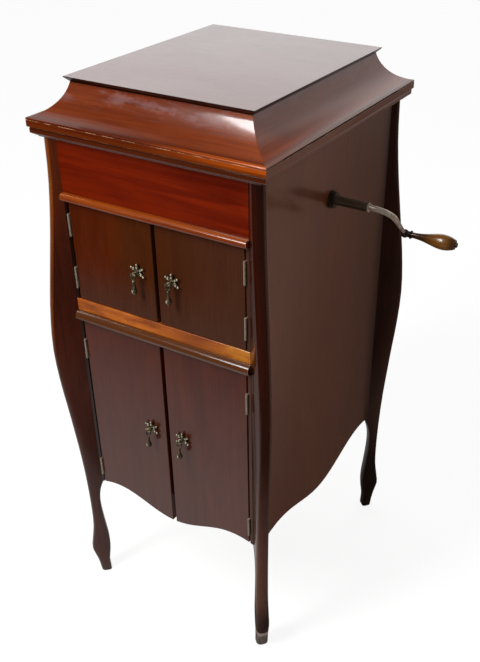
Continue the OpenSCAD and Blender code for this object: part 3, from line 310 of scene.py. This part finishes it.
def mahogany(name, deep, bright, grain="z", mitre=None, figure=0.5, sway=1.0, roughness=0.3, coat=0.8,
             haze=0.08, gloss=0.5, ripple=0.08, flank_reflection=None, fades=()):
    """Polished mahogany, from a deep to a bright colour.

    figure is the share of broad drift in the grain, and sway is how far it wanders. coat is the polish,
    haze is how dull it is and ripple how wavy, and gloss is the shine of the wood under it.
    The colour for a mitred frame's sides is a painted reflection, paler than the front. The fades are laid on
    in their order.
    """
    material, paint = new_finish(name)
    along, across, through, side = board_axes(paint, grain, mitre)
    place = dict(zip("xyz", axes(paint)))

    def pattern(squeeze, scale, detail, distortion=0.0):
        vector = paint.node("CombineXYZ", sockets={0: along * squeeze, 1: across, 2: through})
        return paint.node("TexNoise", sockets={"Vector": vector, "Scale": scale, "Detail": detail,
                                               "Roughness": 0.6, "Distortion": distortion})

    drift = pattern(squeeze=0.3, scale=9, detail=4, distortion=1.5 * sway)
    streak = pattern(squeeze=0.045, scale=75, detail=5, distortion=0.3)
    fine = pattern(squeeze=0.02, scale=420, detail=2)
    pores = pattern(squeeze=0.016, scale=1500, detail=1).between(0.62, 0.72)
    cloud = pattern(squeeze=0.8, scale=5, detail=3, distortion=0.8).between(0.3, 0.75)
    patches = pattern(squeeze=0.45, scale=38, detail=4).between(0.47, 0.66)
    waves = pattern(squeeze=0.5, scale=16, detail=2)
    mixed = (drift * figure + streak * (1 - figure) - 0.5) * GRAIN_CONTRAST + 0.5
    uneven = 0.75 + 0.5 * mixed
    wood = mixed.between(0.0, 1.0).tint(deep, bright)
    for axis, (start, end), colour, share, patchy in fades:
        reach = place[axis].between(min(start, end), max(start, end))
        if end < start:
            reach = 1 - reach
        wood = (reach * share * (patches if patchy else uneven)).tint(wood, colour)
    if flank_reflection:
        wood = (side * (0.8 + 0.3 * mixed)).tint(wood, flank_reflection)
    wood = (fine.between(0.35, 0.75) * 0.22).tint(wood, PORE)
    wood = (pores * 0.5).tint(wood, PORE)
    wave = paint.node("Bump", sockets={"Strength": ripple, "Distance": 0.003, "Height": waves})
    dent = paint.node("Bump", sockets={"Strength": 0.25, "Distance": 0.0003, "Normal": wave,
                                       "Height": streak * 0.35 - pores * 0.5 + fine * 0.15})
    return set_shader(material, Base_Color=wood, Normal=dent,
                      Roughness=roughness + (cloud - 0.5) * 0.05 + pores * 0.12,
                      Coat_Weight=coat, Coat_Roughness=haze, Specular_IOR_Level=gloss)


def select_only(piece):
    bpy.ops.object.select_all(action="DESELECT")
    piece.select_set(True)
    bpy.context.view_layer.objects.active = piece


def joined_copy(node):
    """A copy of a CAD piece's mesh as one skin of flat faces."""
    piece = bpy.data.objects.new(node + "_finished", frame["nodes"][node].data.copy())
    bpy.context.scene.collection.objects.link(piece)
    select_only(piece)
    bpy.ops.mesh.customdata_custom_splitnormals_clear()
    bpy.ops.object.mode_set(mode="EDIT")
    bpy.ops.mesh.select_all(action="SELECT")
    bpy.ops.mesh.remove_doubles(threshold=SAME_PLACE)
    bpy.ops.mesh.dissolve_limited(angle_limit=SAME_PLANE)
    bpy.ops.object.mode_set(mode="OBJECT")
    piece.data.materials.clear()
    return piece


def hang(piece, node, *finishes):
    """Gives a finished piece its materials, and hangs it on its CAD node's body in place of the node."""
    for finish in finishes:
        piece.data.materials.append(finish)
    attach(piece, frame["nodes"][node]["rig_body"])
    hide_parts(node)
    return piece


def swell_toe(leg, outward):
    """Fills out a leg's inner edge, from nothing below the knee to its full swell at the toe."""
    rings = {}
    for vertex in leg.data.vertices:
        rings.setdefault(round(vertex.co.z, 4), []).append(vertex)
    for z, ring in rings.items():
        places = [vertex.co.dot(outward) for vertex in ring]
        middle = (min(places) + max(places)) / 2
        inner = SWELL * min(1, max(0, (SWELL_TOP - z) / (SWELL_TOP - SWELL_FULL)))
        for vertex, place in zip(ring, places):
            if place < middle:
                vertex.co -= outward * inner


# Painted light: the front-left leg is painted redder towards its top, and a mauve painted reflection lies on
# its lower part.
left_leg_polish = mahogany("left_leg_polish", rgb(0.028, 0.0035, 0.0006), rgb(0.115, 0.014, 0.0012),
                           roughness=0.28, gloss=0.15,
                           fades=(fade("z", LIT_RED_TOP, rgb(0.14, 0.020, 0.001), share=0.8),
                                  fade("z", LEFT_REFLECTED_HAZE, rgb(0.11, 0.040, 0.028), share=0.35),
                                  fade("z", LEFT_DUST, rgb(0.07, 0.05, 0.045), share=0.5)))
# The right-front leg takes a mauve painted reflection on its lower part, and painted shade near its ankle.
right_leg_polish = mahogany("right_leg_polish", rgb(0.022, 0.0025, 0.0004), rgb(0.055, 0.007, 0.0008),
                            roughness=0.28, gloss=0.15,
                            fades=(fade("z", RIGHT_REFLECTED_HAZE, rgb(0.17, 0.074, 0.052), share=0.85),
                                   fade("z", SHADED_RIGHT_ANKLE, rgb(0.030, 0.016, 0.013), share=0.9),
                                   fade("z", CHIPPED_TOE, rgb(0.60, 0.48, 0.44), share=0.85),
                                   fade("z", DUSTY_TOE, rgb(0.20, 0.16, 0.145), share=0.95)))
# The rear legs are painted darker than the front ones as painted shade, with a mauve painted reflection on
# their lower part.
shaded_rear_leg_polish = mahogany("shaded_rear_leg_polish", rgb(0.018, 0.0026, 0.0005), rgb(0.050, 0.009, 0.0015),
                           roughness=0.32, coat=0.4, gloss=0.1,
                           fades=(fade("z", REAR_REFLECTED_HAZE, rgb(0.055, 0.025, 0.017), share=0.8),
                                  fade("z", REAR_ANKLE, rgb(0.010, 0.004, 0.002), share=0.8)))
# Painted light: the outward faces of the front-left leg are painted bright orange where the lamp catches
# them, darker below.
lit_leg_edge = mahogany("lit_leg_edge", rgb(0.10, 0.018, 0.002), rgb(0.34, 0.085, 0.010), roughness=0.28, gloss=0.2,
                    fades=(fade("z", LIGHT_FADES_BELOW, rgb(0.03, 0.008, 0.003), share=0.8),))
for node, polish in (("leg_front_left", left_leg_polish), ("leg_front_right", right_leg_polish),
                     ("leg_rear_left", shaded_rear_leg_polish), ("leg_rear_right", shaded_rear_leg_polish)):
    leg = joined_copy(node)
    bpy.ops.object.mode_set(mode="EDIT")
    bpy.ops.mesh.select_all(action="SELECT")
    bpy.ops.mesh.tris_convert_to_quads(face_threshold=QUAD_FLATNESS, shape_threshold=QUAD_SQUARENESS)
    bpy.ops.object.mode_set(mode="OBJECT")
    low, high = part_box(node)
    outward = Vector((math.copysign(1, low.x + high.x), math.copysign(1, low.y + high.y), 0)).normalized()
    swell_toe(leg, outward)
    bpy.ops.object.shade_smooth_by_angle(angle=LEG_SMOOTH)
    hang(leg, node, polish, lit_leg_edge)
    # The outward faces of the front-left leg take the orange of painted light.
    for face in leg.data.polygons:
        rubbed_and_lit = node == "leg_front_left" and face.normal.dot(outward) > FACES_OUT
        face.material_index = 1 if rubbed_and_lit else 0

# Sides and back: wide boards between the legs, with a serpentine lower edge on the sides.
# The sides are veneered upright and polished, with worn arrises. The back is plain stained ply.
SHARP = math.radians(40)
REFLECTION_FADES_TO_REAR = (0.0, 0.21)
SHADE_BESIDE_REAR_LEG = (0.17, 0.205)


def speckle(paint, scale, detail, roughness=0.5):
    """Even spots all through a piece."""
    here = paint.node("TexCoord", out="Object")
    return paint.node("TexNoise", sockets={"Vector": here, "Scale": scale, "Detail": detail,
                                           "Roughness": roughness})


def worn_edge(name, polish, bare, share):
    """A polished arris, a share of it rubbed back to bare golden wood."""
    material, paint = new_finish(name)
    rubbed_and_lit = speckle(paint, scale=60, detail=5, roughness=0.7)
    nicks = speckle(paint, scale=420, detail=2)
    mask = (rubbed_and_lit * 0.75 + nicks * 0.25).between(0.62 - 0.25 * share, 0.72 - 0.25 * share)
    return set_shader(material, Base_Color=mask.tint(polish, bare), Roughness=0.28 + mask * 0.25,
                      Coat_Weight=0.3)


def modify(piece, kind, **settings):
    modifier = piece.modifiers.new(kind.lower(), kind)
    for name, value in settings.items():
        setattr(modifier, name, value)
    select_only(piece)
    bpy.ops.object.modifier_apply(modifier=modifier.name)


def dressed(node, finish, edge, worn=None, smooth=35):
    """A CAD piece's own shape with its sharp edges eased, smooth where it is round, in its finish."""
    piece = hang(joined_copy(node), node, finish, *([worn] if worn else []))
    if edge:
        modify(piece, "BEVEL", width=edge, segments=1, limit_method="ANGLE", angle_limit=SHARP,
               material=1 if worn else -1)
    select_only(piece)
    bpy.ops.object.shade_smooth_by_angle(angle=math.radians(smooth))
    return piece


# Painted reflection and shade: the sides are painted darker towards the rear, as they mirror less of the pale
# room there, and almost black beside the rear leg as painted shade.
side_polish = mahogany("side_polish", rgb(0.14, 0.032, 0.007), rgb(0.18, 0.044, 0.010), figure=0.85,
                       roughness=0.36, coat=1.0, haze=0.16, ripple=0.04,
                       fades=(fade("y", REFLECTION_FADES_TO_REAR, rgb(0.09, 0.026, 0.008), share=0.7),
                              fade("y", SHADE_BESIDE_REAR_LEG, rgb(0.03, 0.008, 0.003), share=0.7)))
side_edge = worn_edge("side_edge", rgb(0.05, 0.015, 0.007), rgb(0.16, 0.06, 0.02), share=0.3)
for node in ("side_panel_left", "side_panel_right"):
    dressed(node, side_polish, edge=0.0008, worn=side_edge)
plain_ply = mahogany("plain_ply", rgb(0.10, 0.052, 0.024), rgb(0.19, 0.11, 0.055), figure=0.4, roughness=0.65,
                     coat=0.0)
dressed("back_panel", plain_ply, edge=0.0006)

# Front boards: the fascia with its bead, the narrow hinge stiles, and the flame-figured middle rail
# with a bigger, browner bead. The beads are run with a plane and rubbed bright along their edges.
BEAD_SMOOTH = 14
LOWER_BEAD = (0.02, 0.04)
SHADED_LEFT_STILE = (0.0, -0.05)
WHOLE_RAIL = (0.0, 0.1)
RAIL_SHADE = (0.015, 0.06)
RAIL_GOLD = (0.075, 0.14)
RAIL_FLAME = (0.09, 0.13)
fascia_polish = mahogany("fascia_polish", rgb(0.095, 0.004, 0.0002), rgb(0.27, 0.019, 0.0006), grain="x",
                         figure=0.4, gloss=0.1)
dressed("fascia", fascia_polish, edge=0.0006)
# The left stile, beside the front-left leg, is painted almost black as painted shade.
stile_polish = mahogany("stile_polish", rgb(0.070, 0.022, 0.012), rgb(0.110, 0.038, 0.022), roughness=0.34,
                        coat=0.6, gloss=0.3,
                        fades=(fade("x", SHADED_LEFT_STILE, rgb(0.012, 0.003, 0.001), share=1.0),))
dressed("front_stiles", stile_polish, edge=0.0005)


def below(top, band):
    """The heights at which a band starts and ends, given as depths below a top."""
    return top - band[0], top - band[1]


bead_low, bead_high = (corner.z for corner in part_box("fascia_bead"))
bead_middle = (bead_low + bead_high) / 2
# The fascia bead's upper half is painted brighter, a painted highlight on its top.
bead_polish = mahogany("bead_polish", rgb(0.15, 0.015, 0.001), rgb(0.35, 0.062, 0.004), grain="x",
                       roughness=0.25, coat=1.0, haze=0.1, gloss=0.2, ripple=0.005,
                       fades=(fade("z", (bead_middle, bead_high), rgb(0.45, 0.095, 0.008), share=0.6),
                              fade("z", below(bead_low, LOWER_BEAD), rgb(0.095, 0.036, 0.010), share=0.8)))
bead_edge = worn_edge("bead_edge", rgb(0.20, 0.06, 0.015), rgb(0.52, 0.34, 0.19), share=0.8)
dressed("fascia_bead", bead_polish, edge=0.0007, worn=bead_edge, smooth=BEAD_SMOOTH)
dressed("mid_bead", bead_polish, edge=0.0008, worn=bead_edge, smooth=BEAD_SMOOTH)
rail_polish = mahogany("rail_polish", rgb(0.28, 0.038, 0.002), rgb(0.88, 0.24, 0.018), grain="x", figure=0.85,
                       sway=2.5, roughness=0.26,
                       fades=(fade("z", WHOLE_RAIL, rgb(0.16, 0.022, 0.001), share=0.4, patchy=True),
                              fade("x", RAIL_SHADE, rgb(0.17, 0.026, 0.002), share=0.45),
                              fade("x", RAIL_GOLD, rgb(0.66, 0.17, 0.008), share=0.6),
                              fade("x", RAIL_FLAME, rgb(0.95, 0.36, 0.015), share=0.5, patchy=True)))
dressed("mid_rail", rail_polish, edge=0.0005)

# Rim moulding: a fillet, a step, a second fillet and an ogee, worked on strips and mitred at the corners.
# The front is golden to the right, where the polish is rubbed off, and brown below the step.
# Its members are given as depths below the top.
RUBBED_RIGHT = (-0.02, 0.19)
FILLET_FOOT = (0.0045, 0.007)
STEP = (0.0103, 0.0108)
OGEE_REFLECTION = (0.0186, 0.0194)
rim_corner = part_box("top_moulding")[1]
corner_line = rim_corner.x - rim_corner.y
# Painted reflection: the rim's sides and its ogee soffit are painted paler and greyer, for the pale room and
# sheet they mirror.
rim_polish = mahogany("rim_polish", rgb(0.085, 0.008, 0.001), rgb(0.17, 0.024, 0.002), mitre=corner_line,
                      figure=0.3, roughness=0.26, coat=0.7, gloss=0.2, flank_reflection=rgb(0.20, 0.070, 0.040),
                      fades=(fade("x", RUBBED_RIGHT, rgb(0.53, 0.088, 0.002), share=0.9),
                             fade("z", below(rim_corner.z, FILLET_FOOT), rgb(0.16, 0.028, 0.002), share=0.8),
                             fade("z", below(rim_corner.z, STEP), rgb(0.088, 0.0145, 0.002), share=1.3),
                             fade("z", below(rim_corner.z, OGEE_REFLECTION), rgb(0.14, 0.066, 0.056), share=0.8)))
rim_edge = worn_edge("rim_edge", rgb(0.13, 0.03, 0.006), rgb(0.60, 0.36, 0.16), share=0.6)
dressed("top_moulding", rim_polish, edge=0.0004, worn=rim_edge, smooth=BEAD_SMOOTH)

# Lid: a thin flat board with a dark lip on a deep coved frame, mitred and highly polished.
# The board mirrors the pale room, and the lip is dark with painted shade. The cove's polish shows cloudy
# streaks, their mauve partly painted reflection, with painted shade at its foot and under the lip.
# The frame's thin foot is rubbed golden like the rim it closes on.
LEVEL = 0.9
FACES_DOWN = -0.5
FOOT_EDGE = 0.0035
BLOOM_AND_REFLECTION = (0.034, 0.014)
SHADED_COVE_FOOT = (0.044, 0.048)
SHADOW_UNDER_LIP = (0.0018, 0.0006)
COVE_RIGHT = (0.05, 0.24)
COVE_LEFT = (-0.08, -0.28)
COVE_SMOOTH = 12
lid_polish = mahogany("lid_polish", rgb(0.15, 0.034, 0.024), rgb(0.19, 0.048, 0.034), grain="x", figure=0.7,
                      coat=1.0, gloss=1.0, ripple=0.01)
# The lip's edge faces are painted near black as painted shade, with a few golden nicks of wear.
lip_shade_and_nicks = worn_edge("lip_shade_and_nicks", rgb(0.012, 0.003, 0.001), rgb(0.22, 0.09, 0.03), share=0.1)
lid_board = dressed("lid_top", lid_polish, edge=0.0004, worn=lip_shade_and_nicks)
for face in lid_board.data.polygons:
    face.material_index = 0 if abs(face.normal.z) > LEVEL else 1
cove_low, cove_top = (corner.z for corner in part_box("lid_cove"))
bloom_and_reflection_mauve = rgb(0.34, 0.19, 0.19)
# The cove's mauve clouds are bloom in the polish, partly painted reflection. Its foot and the band just under
# the lip are painted darker as painted shade.
cove_polish = mahogany("cove_polish", rgb(0.13, 0.018, 0.004), rgb(0.27, 0.052, 0.013), mitre=corner_line,
                       figure=0.45, roughness=0.2, coat=1.0, gloss=0.3,
                       fades=(fade("z", below(cove_top, BLOOM_AND_REFLECTION), bloom_and_reflection_mauve, share=0.45, patchy=True),
                              fade("x", COVE_RIGHT, rgb(0.36, 0.082, 0.030), share=0.75),
                              fade("x", COVE_LEFT, rgb(0.15, 0.026, 0.008), share=0.5),
                              fade("z", below(cove_top, SHADED_COVE_FOOT), rgb(0.08, 0.012, 0.002), share=0.7),
                              fade("z", below(cove_top, SHADOW_UNDER_LIP), rgb(0.02, 0.004, 0.001), share=1.0)))
cove = dressed("lid_cove", cove_polish, edge=0.0005, smooth=COVE_SMOOTH)
cove.data.materials.append(rim_polish)
for face in cove.data.polygons:
    if face.center.z < cove_low + FOOT_EDGE and face.normal.z > FACES_DOWN:
        face.material_index = 1

# Doors: plain slab doors with upright grain, two above and two below, the lower pair clouded by age.
# They hang on brass butts and meet in a wide dark gap.
UPPER_MIDDLE = (-0.10, -0.04)
UPPER_RIGHT = (-0.02, 0.15)
UPPER_FOOT = (0.74, 0.65)
door_mauve = rgb(0.085, 0.030, 0.016)
upper_polish = mahogany("upper_door_polish", rgb(0.055, 0.006, 0.0003), rgb(0.13, 0.018, 0.001), figure=0.6,
                        roughness=0.28, gloss=0.15,
                        fades=(fade("x", UPPER_MIDDLE, rgb(0.070, 0.022, 0.003), share=0.5),
                               fade("x", UPPER_RIGHT, door_mauve, share=0.6),
                               fade("z", UPPER_FOOT, door_mauve, share=0.6)))
lower_polish = mahogany("lower_door_polish", rgb(0.070, 0.008, 0.001), rgb(0.13, 0.019, 0.003), figure=0.6,
                        coat=1.0)
for side in ("left", "right"):
    dressed(f"upper_door_{side}", upper_polish, edge=0.0007)
    dressed(f"lower_door_{side}", lower_polish, edge=0.0007)

# Hinges and stay: brass butts let into the doors and stiles, straps under the lid, and a quadrant stay
# that slides through its guide. Their old lacquer is blotched, and darker where nothing rubs it.


def old_metal(name, clean, stained, roughness, scale, share, bump=0.0001, metallic=1.0):
    """Metal with stains and pits of a scale. share is how much of it is stained."""
    material, paint = new_finish(name)
    blotch = speckle(paint, scale=scale, detail=5, roughness=0.65)
    pits = speckle(paint, scale=scale * 14, detail=2)
    mask = (blotch * 0.7 + pits * 0.3).between(0.62 - 0.25 * share, 0.80 - 0.25 * share)
    dent = paint.node("Bump", sockets={"Strength": 0.3, "Distance": bump, "Height": pits})
    return set_shader(material, Base_Color=mask.tint(clean, stained), Metallic=metallic, Normal=dent,
                      Roughness=roughness + mask * 0.2)


hinge_brass = old_metal("hinge_brass", rgb(0.46, 0.40, 0.31), rgb(0.22, 0.18, 0.12), roughness=0.34,
                        scale=160, share=0.4, metallic=0.5)
for node in ("fixed_hinge_leaves", "lid_hinge_straps", "lid_stay", "stay_guide", "upper_left_hinges",
             "upper_right_hinges", "lower_left_hinges", "lower_right_hinges"):
    dressed(node, hinge_brass, edge=0.0002)

# Handles: cast brass plates with a spray of leaves, and pear drops that swing on a cross pin.
# Each leaf swells in the middle and ends in a bead. One plate and one drop are cast, and copied to each door.
# The brass is brown with age and rubbed bright where it stands proud, and the pear's bright spot is a
# painted highlight. Sizes are millimetres from the pivot.
MM = 1000
CASTING_GRAIN = 0.4
pivots = {joint["child"]: Vector(joint["pos_m"]) for joint in frame["record"]["behaviour"]["joints"]}
handle_brass = old_metal("handle_brass", rgb(0.26, 0.22, 0.13), rgb(0.05, 0.042, 0.025), roughness=0.3,
                         scale=260, share=0.75, bump=0.0002, metallic=0.7)
rubbed_and_highlit_brass = old_metal("rubbed_and_highlit_brass", rgb(0.80, 0.74, 0.58), rgb(0.40, 0.34, 0.22), roughness=0.3,
                         scale=260, share=0.3, metallic=0.4)


def ball(place, radius, stretch=(1, 1, 1), turn=0.0):
    """A round lump at a place, stretched and turned on the door's face."""
    bpy.ops.mesh.primitive_uv_sphere_add(segments=20, ring_count=12, radius=radius / MM, scale=stretch,
                                         location=[length / MM for length in place], rotation=(0, turn, 0))
    return bpy.context.object


def rod(start, end, first_r, last_r):
    """A tapering rod between two places."""
    line = (Vector(end) - Vector(start)) / MM
    bpy.ops.mesh.primitive_cone_add(vertices=16, radius1=first_r / MM, radius2=last_r / MM,
                                    depth=line.length, location=Vector(start) / MM + line / 2,
                                    rotation=line.to_track_quat("Z", "Y").to_euler())
    return bpy.context.object


def cast(lumps):
    """Melts lumps into one skin of even grain and smooths it, as a casting comes out of its mould."""
    bpy.ops.object.select_all(action="DESELECT")
    for lump in lumps:
        lump.select_set(True)
    bpy.context.view_layer.objects.active = lumps[0]
    bpy.ops.object.join()
    bpy.ops.object.transform_apply()
    casting = bpy.context.object
    modify(casting, "REMESH", mode="VOXEL", voxel_size=CASTING_GRAIN / MM)
    modify(casting, "SMOOTH", factor=0.5, iterations=3)
    bpy.ops.object.shade_smooth()
    return casting


def proud(place, distance):
    """A place moved out from the door."""
    return place - Vector((0, distance, 0))


def turned(upper, lower):
    """A tapering rod down a drop's middle. Each end is a height with its radius."""
    return rod((0, 0, upper[0]), (0, 0, lower[0]), upper[1], lower[1])


BOSS_STANDS = 0.5
BOSS_RADIUS = 6.2
BOSS_FORM = (1, 0.6, 1)
POST_END = -1.8
POST_RADII = (3.4, 1.8)
PIN_HALF = 5
PIN_RADIUS = 1.2
LEAF_ANGLES = (90, 34, 146, -28, 208)
LEAF_STANDS = 2.2
LEAF_ROOT = 2
LEAF_ROOT_STANDS = 1
LEAF_RADII = (2.8, 1.8)
LEAF_SWELL = 8.2
SWELL_LIFT = 0.8
SWELL_RADIUS = 2.9
SWELL_FORM = (1.35, 0.8, 0.95)
LEAF_TIP = 13
TIP_LIFT = 1.2
TIP_RADIUS = 2.2
SWELL_SPOT = (2.0, 1.5)
TIP_SPOT = (1.7, 1.4)
door_y = (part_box("upper_door_left")[0].y - pivots["upper_left_drop"].y) * MM
rubbed_and_highlight_spots = []
lumps = [ball((0, door_y - BOSS_STANDS, 0), BOSS_RADIUS, BOSS_FORM),
         rod((0, door_y, 0), (0, POST_END, 0), *POST_RADII),
         rod((-PIN_HALF, 0, 0), (PIN_HALF, 0, 0), PIN_RADIUS, PIN_RADIUS)]
for angle in LEAF_ANGLES:
    along = Vector((math.cos(math.radians(angle)), 0, math.sin(math.radians(angle))))
    rise = Vector((0, door_y - LEAF_STANDS, 0))
    tip = proud(along * LEAF_TIP + rise, TIP_LIFT)
    middle = proud(along * LEAF_SWELL + rise, SWELL_LIFT)
    root = along * LEAF_ROOT + Vector((0, door_y - LEAF_ROOT_STANDS, 0))
    lumps.append(rod(root, tip, *LEAF_RADII))
    lumps.append(ball(middle, SWELL_RADIUS, SWELL_FORM, -math.radians(angle)))
    lumps.append(ball(tip, TIP_RADIUS))
    for lump, (stands, reach) in ((middle, SWELL_SPOT), (tip, TIP_SPOT)):
        rubbed_and_highlight_spots.append((proud(lump, stands), reach))
plate_casting = cast(lumps)

EYE_X = 4
EYE_RADIUS = 2.0
BEND_X = 4.3
BEND_Z = -5
BEND_RADIUS = 1.55
LOOP_RADIUS = 1.5
LOOP_FOOT = -11
KNOP_Z = -12
KNOP_RADIUS = 2.7
NECK = (-12, 2.1)
WAIST = (-20, 2.5)
SHOULDER = (-27, 4.2)
PEAR_Z = -28.4
PEAR_RADIUS = 4.8
PEAR_FORM = (1, 1, 1.25)
PEAR_FOOT = (-31, 3.4)
PEAR_TIP = (-35.6, 1.0)
# The pear's bright spot, on its front left, is a painted highlight.
PEAR_HIGHLIGHT = Vector((-2.2, -3.6, -28))
PEAR_HIGHLIGHT_REACH = 2.4
lumps = []
for hand in (-1, 1):
    eye = (EYE_X * hand, 0, 0)
    bend = (BEND_X * hand, 0, BEND_Z)
    lumps += [ball(eye, EYE_RADIUS), ball(bend, BEND_RADIUS), rod(eye, bend, LOOP_RADIUS, LOOP_RADIUS),
              rod(bend, (0, 0, LOOP_FOOT), LOOP_RADIUS, LOOP_RADIUS)]
lumps += [ball((0, 0, KNOP_Z), KNOP_RADIUS), turned(NECK, WAIST), turned(WAIST, SHOULDER),
          ball((0, 0, PEAR_Z), PEAR_RADIUS, PEAR_FORM), turned(PEAR_FOOT, PEAR_TIP)]
drop_casting = cast(lumps)
rubbed_and_highlight_spots.append((PEAR_HIGHLIGHT, PEAR_HIGHLIGHT_REACH))
for casting in (plate_casting, drop_casting):
    for face in casting.data.polygons:
        near = any((face.center * MM - spot).length < reach for spot, reach in rubbed_and_highlight_spots)
        face.material_index = 1 if near else 0
for place in ("upper_left", "upper_right", "lower_left", "lower_right"):
    for casting, kind in ((plate_casting, "_plate"), (drop_casting, "_drop")):
        piece = bpy.data.objects.new(place + kind + "_finished", casting.data.copy())
        bpy.context.scene.collection.objects.link(piece)
        piece.data.transform(Matrix.Translation(pivots[place + "_drop"]))
        hang(piece, place + kind, handle_brass, rubbed_and_highlit_brass)
for casting in (plate_casting, drop_casting):
    bpy.data.objects.remove(casting)

# Crank: a bronzed escutcheon in two rings, a bronzed sleeve with a bright end ring, a bent nickel-plated arm
# and a blackened ferrule. The turned grip is varnished amber, darker at its ends, and spins on its pin.
SLEEVE_END = 0.066
RING_WIDTH = 0.0017
RING_SLACK = 0.0002
END_SLACK = 0.0001
ARM_RADIUS = 0.0055
FERRULE_START = 0.084
SHADED_UNDERSIDE = -0.1
GRIP_NECK = (0.342, 0.316)
GRIP_END = (0.360, 0.371)
SLEEVE, RING, ARM, DARK = range(4)
dark_bronze = old_metal("dark_bronze", rgb(0.055, 0.036, 0.022), rgb(0.018, 0.011, 0.007), roughness=0.34,
                        scale=130, share=0.6, metallic=0.2)
bright_ring = old_metal("bright_ring", rgb(0.62, 0.53, 0.41), rgb(0.30, 0.23, 0.16), roughness=0.3,
                        scale=200, share=0.3, metallic=0.4)
worn_nickel = old_metal("worn_nickel", rgb(0.70, 0.60, 0.47), rgb(0.20, 0.155, 0.11), roughness=0.32,
                        scale=140, share=0.5, metallic=0.5)
sleeve_bronze = old_metal("sleeve_bronze", rgb(0.15, 0.105, 0.064), rgb(0.085, 0.058, 0.034), roughness=0.45,
                          scale=130, share=0.4, metallic=0.2)
dressed("crank_escutcheon", dark_bronze, edge=0.0003)
crank_arm = dressed("crank_arm", sleeve_bronze, edge=0.0002)
for finish in (bright_ring, worn_nickel, dark_bronze):
    crank_arm.data.materials.append(finish)
for face in crank_arm.data.polygons:
    out = face.center - pivots["crank"]
    off_axis = math.hypot(out.y, out.z)
    on_sleeve = out.x < SLEEVE_END - RING_WIDTH
    end_face = abs(out.x - SLEEVE_END) < END_SLACK and off_axis > ARM_RADIUS
    # Faces on the sleeve's underside take the dark bronze as painted shade.
    if off_axis > FERRULE_START or end_face or (on_sleeve and face.normal.z < SHADED_UNDERSIDE):
        face.material_index = DARK
    elif on_sleeve:
        face.material_index = SLEEVE
    else:
        face.material_index = RING if out.x < SLEEVE_END + RING_SLACK and off_axis > ARM_RADIUS else ARM
grip_dark = rgb(0.05, 0.014, 0.004)
grip_varnish = mahogany("grip_varnish", rgb(0.14, 0.042, 0.004), rgb(0.40, 0.16, 0.018), grain="x",
                        figure=0.4, roughness=0.2, coat=1.0, haze=0.28,
                        fades=(fade("x", GRIP_NECK, grip_dark, share=0.9),
                               fade("x", GRIP_END, grip_dark, share=0.8)))
dressed("crank_grip", grip_varnish, edge=0.0002)

# Inside: shelves, record dividers and deck cleats of bare softwood, fixed between the sides,
# and the square bent horn of the same wood. The slats before the horn's mouth and the motor board
# are stained and polished.
inner_wood = mahogany("inner_wood", rgb(0.16, 0.085, 0.038), rgb(0.30, 0.19, 0.095), grain="y", figure=0.4,
                      roughness=0.6, coat=0.0)
for node in ("deck_cleats", "horn_shelf", "cupboard_floor", "record_dividers", "horn"):
    dressed(node, inner_wood, edge=0.0004)
slat_polish = mahogany("slat_polish", rgb(0.05, 0.013, 0.005), rgb(0.11, 0.03, 0.012), grain="x",
                       roughness=0.35)
dressed("horn_slats", slat_polish, edge=0.0004)
deck_polish = mahogany("deck_polish", rgb(0.06, 0.014, 0.005), rgb(0.14, 0.036, 0.014), grain="x")
dressed("motor_board", deck_polish, edge=0.0006)

# Deck fittings: the turntable on the motor's spindle, and on the motor board the tone arm with its bracket
# and sound box, the brake, the speed dial and lever, and two needle cups. All are nickel-plated.
# A disc of worn green felt is glued on the turntable.
nickel = old_metal("nickel", rgb(0.72, 0.69, 0.63), rgb(0.40, 0.35, 0.28), roughness=0.18, scale=70,
                   share=0.3)
for node in ("turntable", "arm_bracket", "tone_arm", "sound_box", "needle_cups", "brake_lever", "speed_dial",
             "speed_lever"):
    dressed(node, nickel, edge=0.0004)
felt, paint = new_finish("green_felt")
nap = speckle(paint, scale=900, detail=3, roughness=0.7)
rubbed_and_lit = speckle(paint, scale=14, detail=3).between(0.4, 0.75)
green = (nap.between(0.3, 0.7) * 0.6 + rubbed_and_lit * 0.3).tint(rgb(0.022, 0.05, 0.018), rgb(0.085, 0.14, 0.055))
fluff = paint.node("Bump", sockets={"Strength": 0.6, "Distance": 0.0004, "Height": nap})
set_shader(felt, Base_Color=green, Roughness=0.95, Sheen_Weight=0.4, Normal=fluff)
dressed("turntable_felt", felt, edge=0.0004)

# Motor: a spring motor in a black japanned iron frame, hung under the motor board.
# The spindle, arbor and winding shaft are turned steel, the spring barrel and the governor brass.
japan = old_metal("black_japan", rgb(0.02, 0.02, 0.02), rgb(0.05, 0.04, 0.035), roughness=0.4, scale=80,
                  share=0.4)
steel = old_metal("turned_steel", rgb(0.5, 0.5, 0.5), rgb(0.25, 0.23, 0.2), roughness=0.3, scale=120,
                  share=0.4)
wheel_brass = old_metal("wheel_brass", rgb(0.60, 0.44, 0.18), rgb(0.33, 0.22, 0.08), roughness=0.3, scale=100,
                        share=0.4)
for node, finish in (("motor_frame", japan), ("spindle", steel), ("winding_arbor", steel),
                     ("winding_shaft", steel), ("spring_barrel", wheel_brass), ("governor", wheel_brass)):
    dressed(node, finish, edge=0)
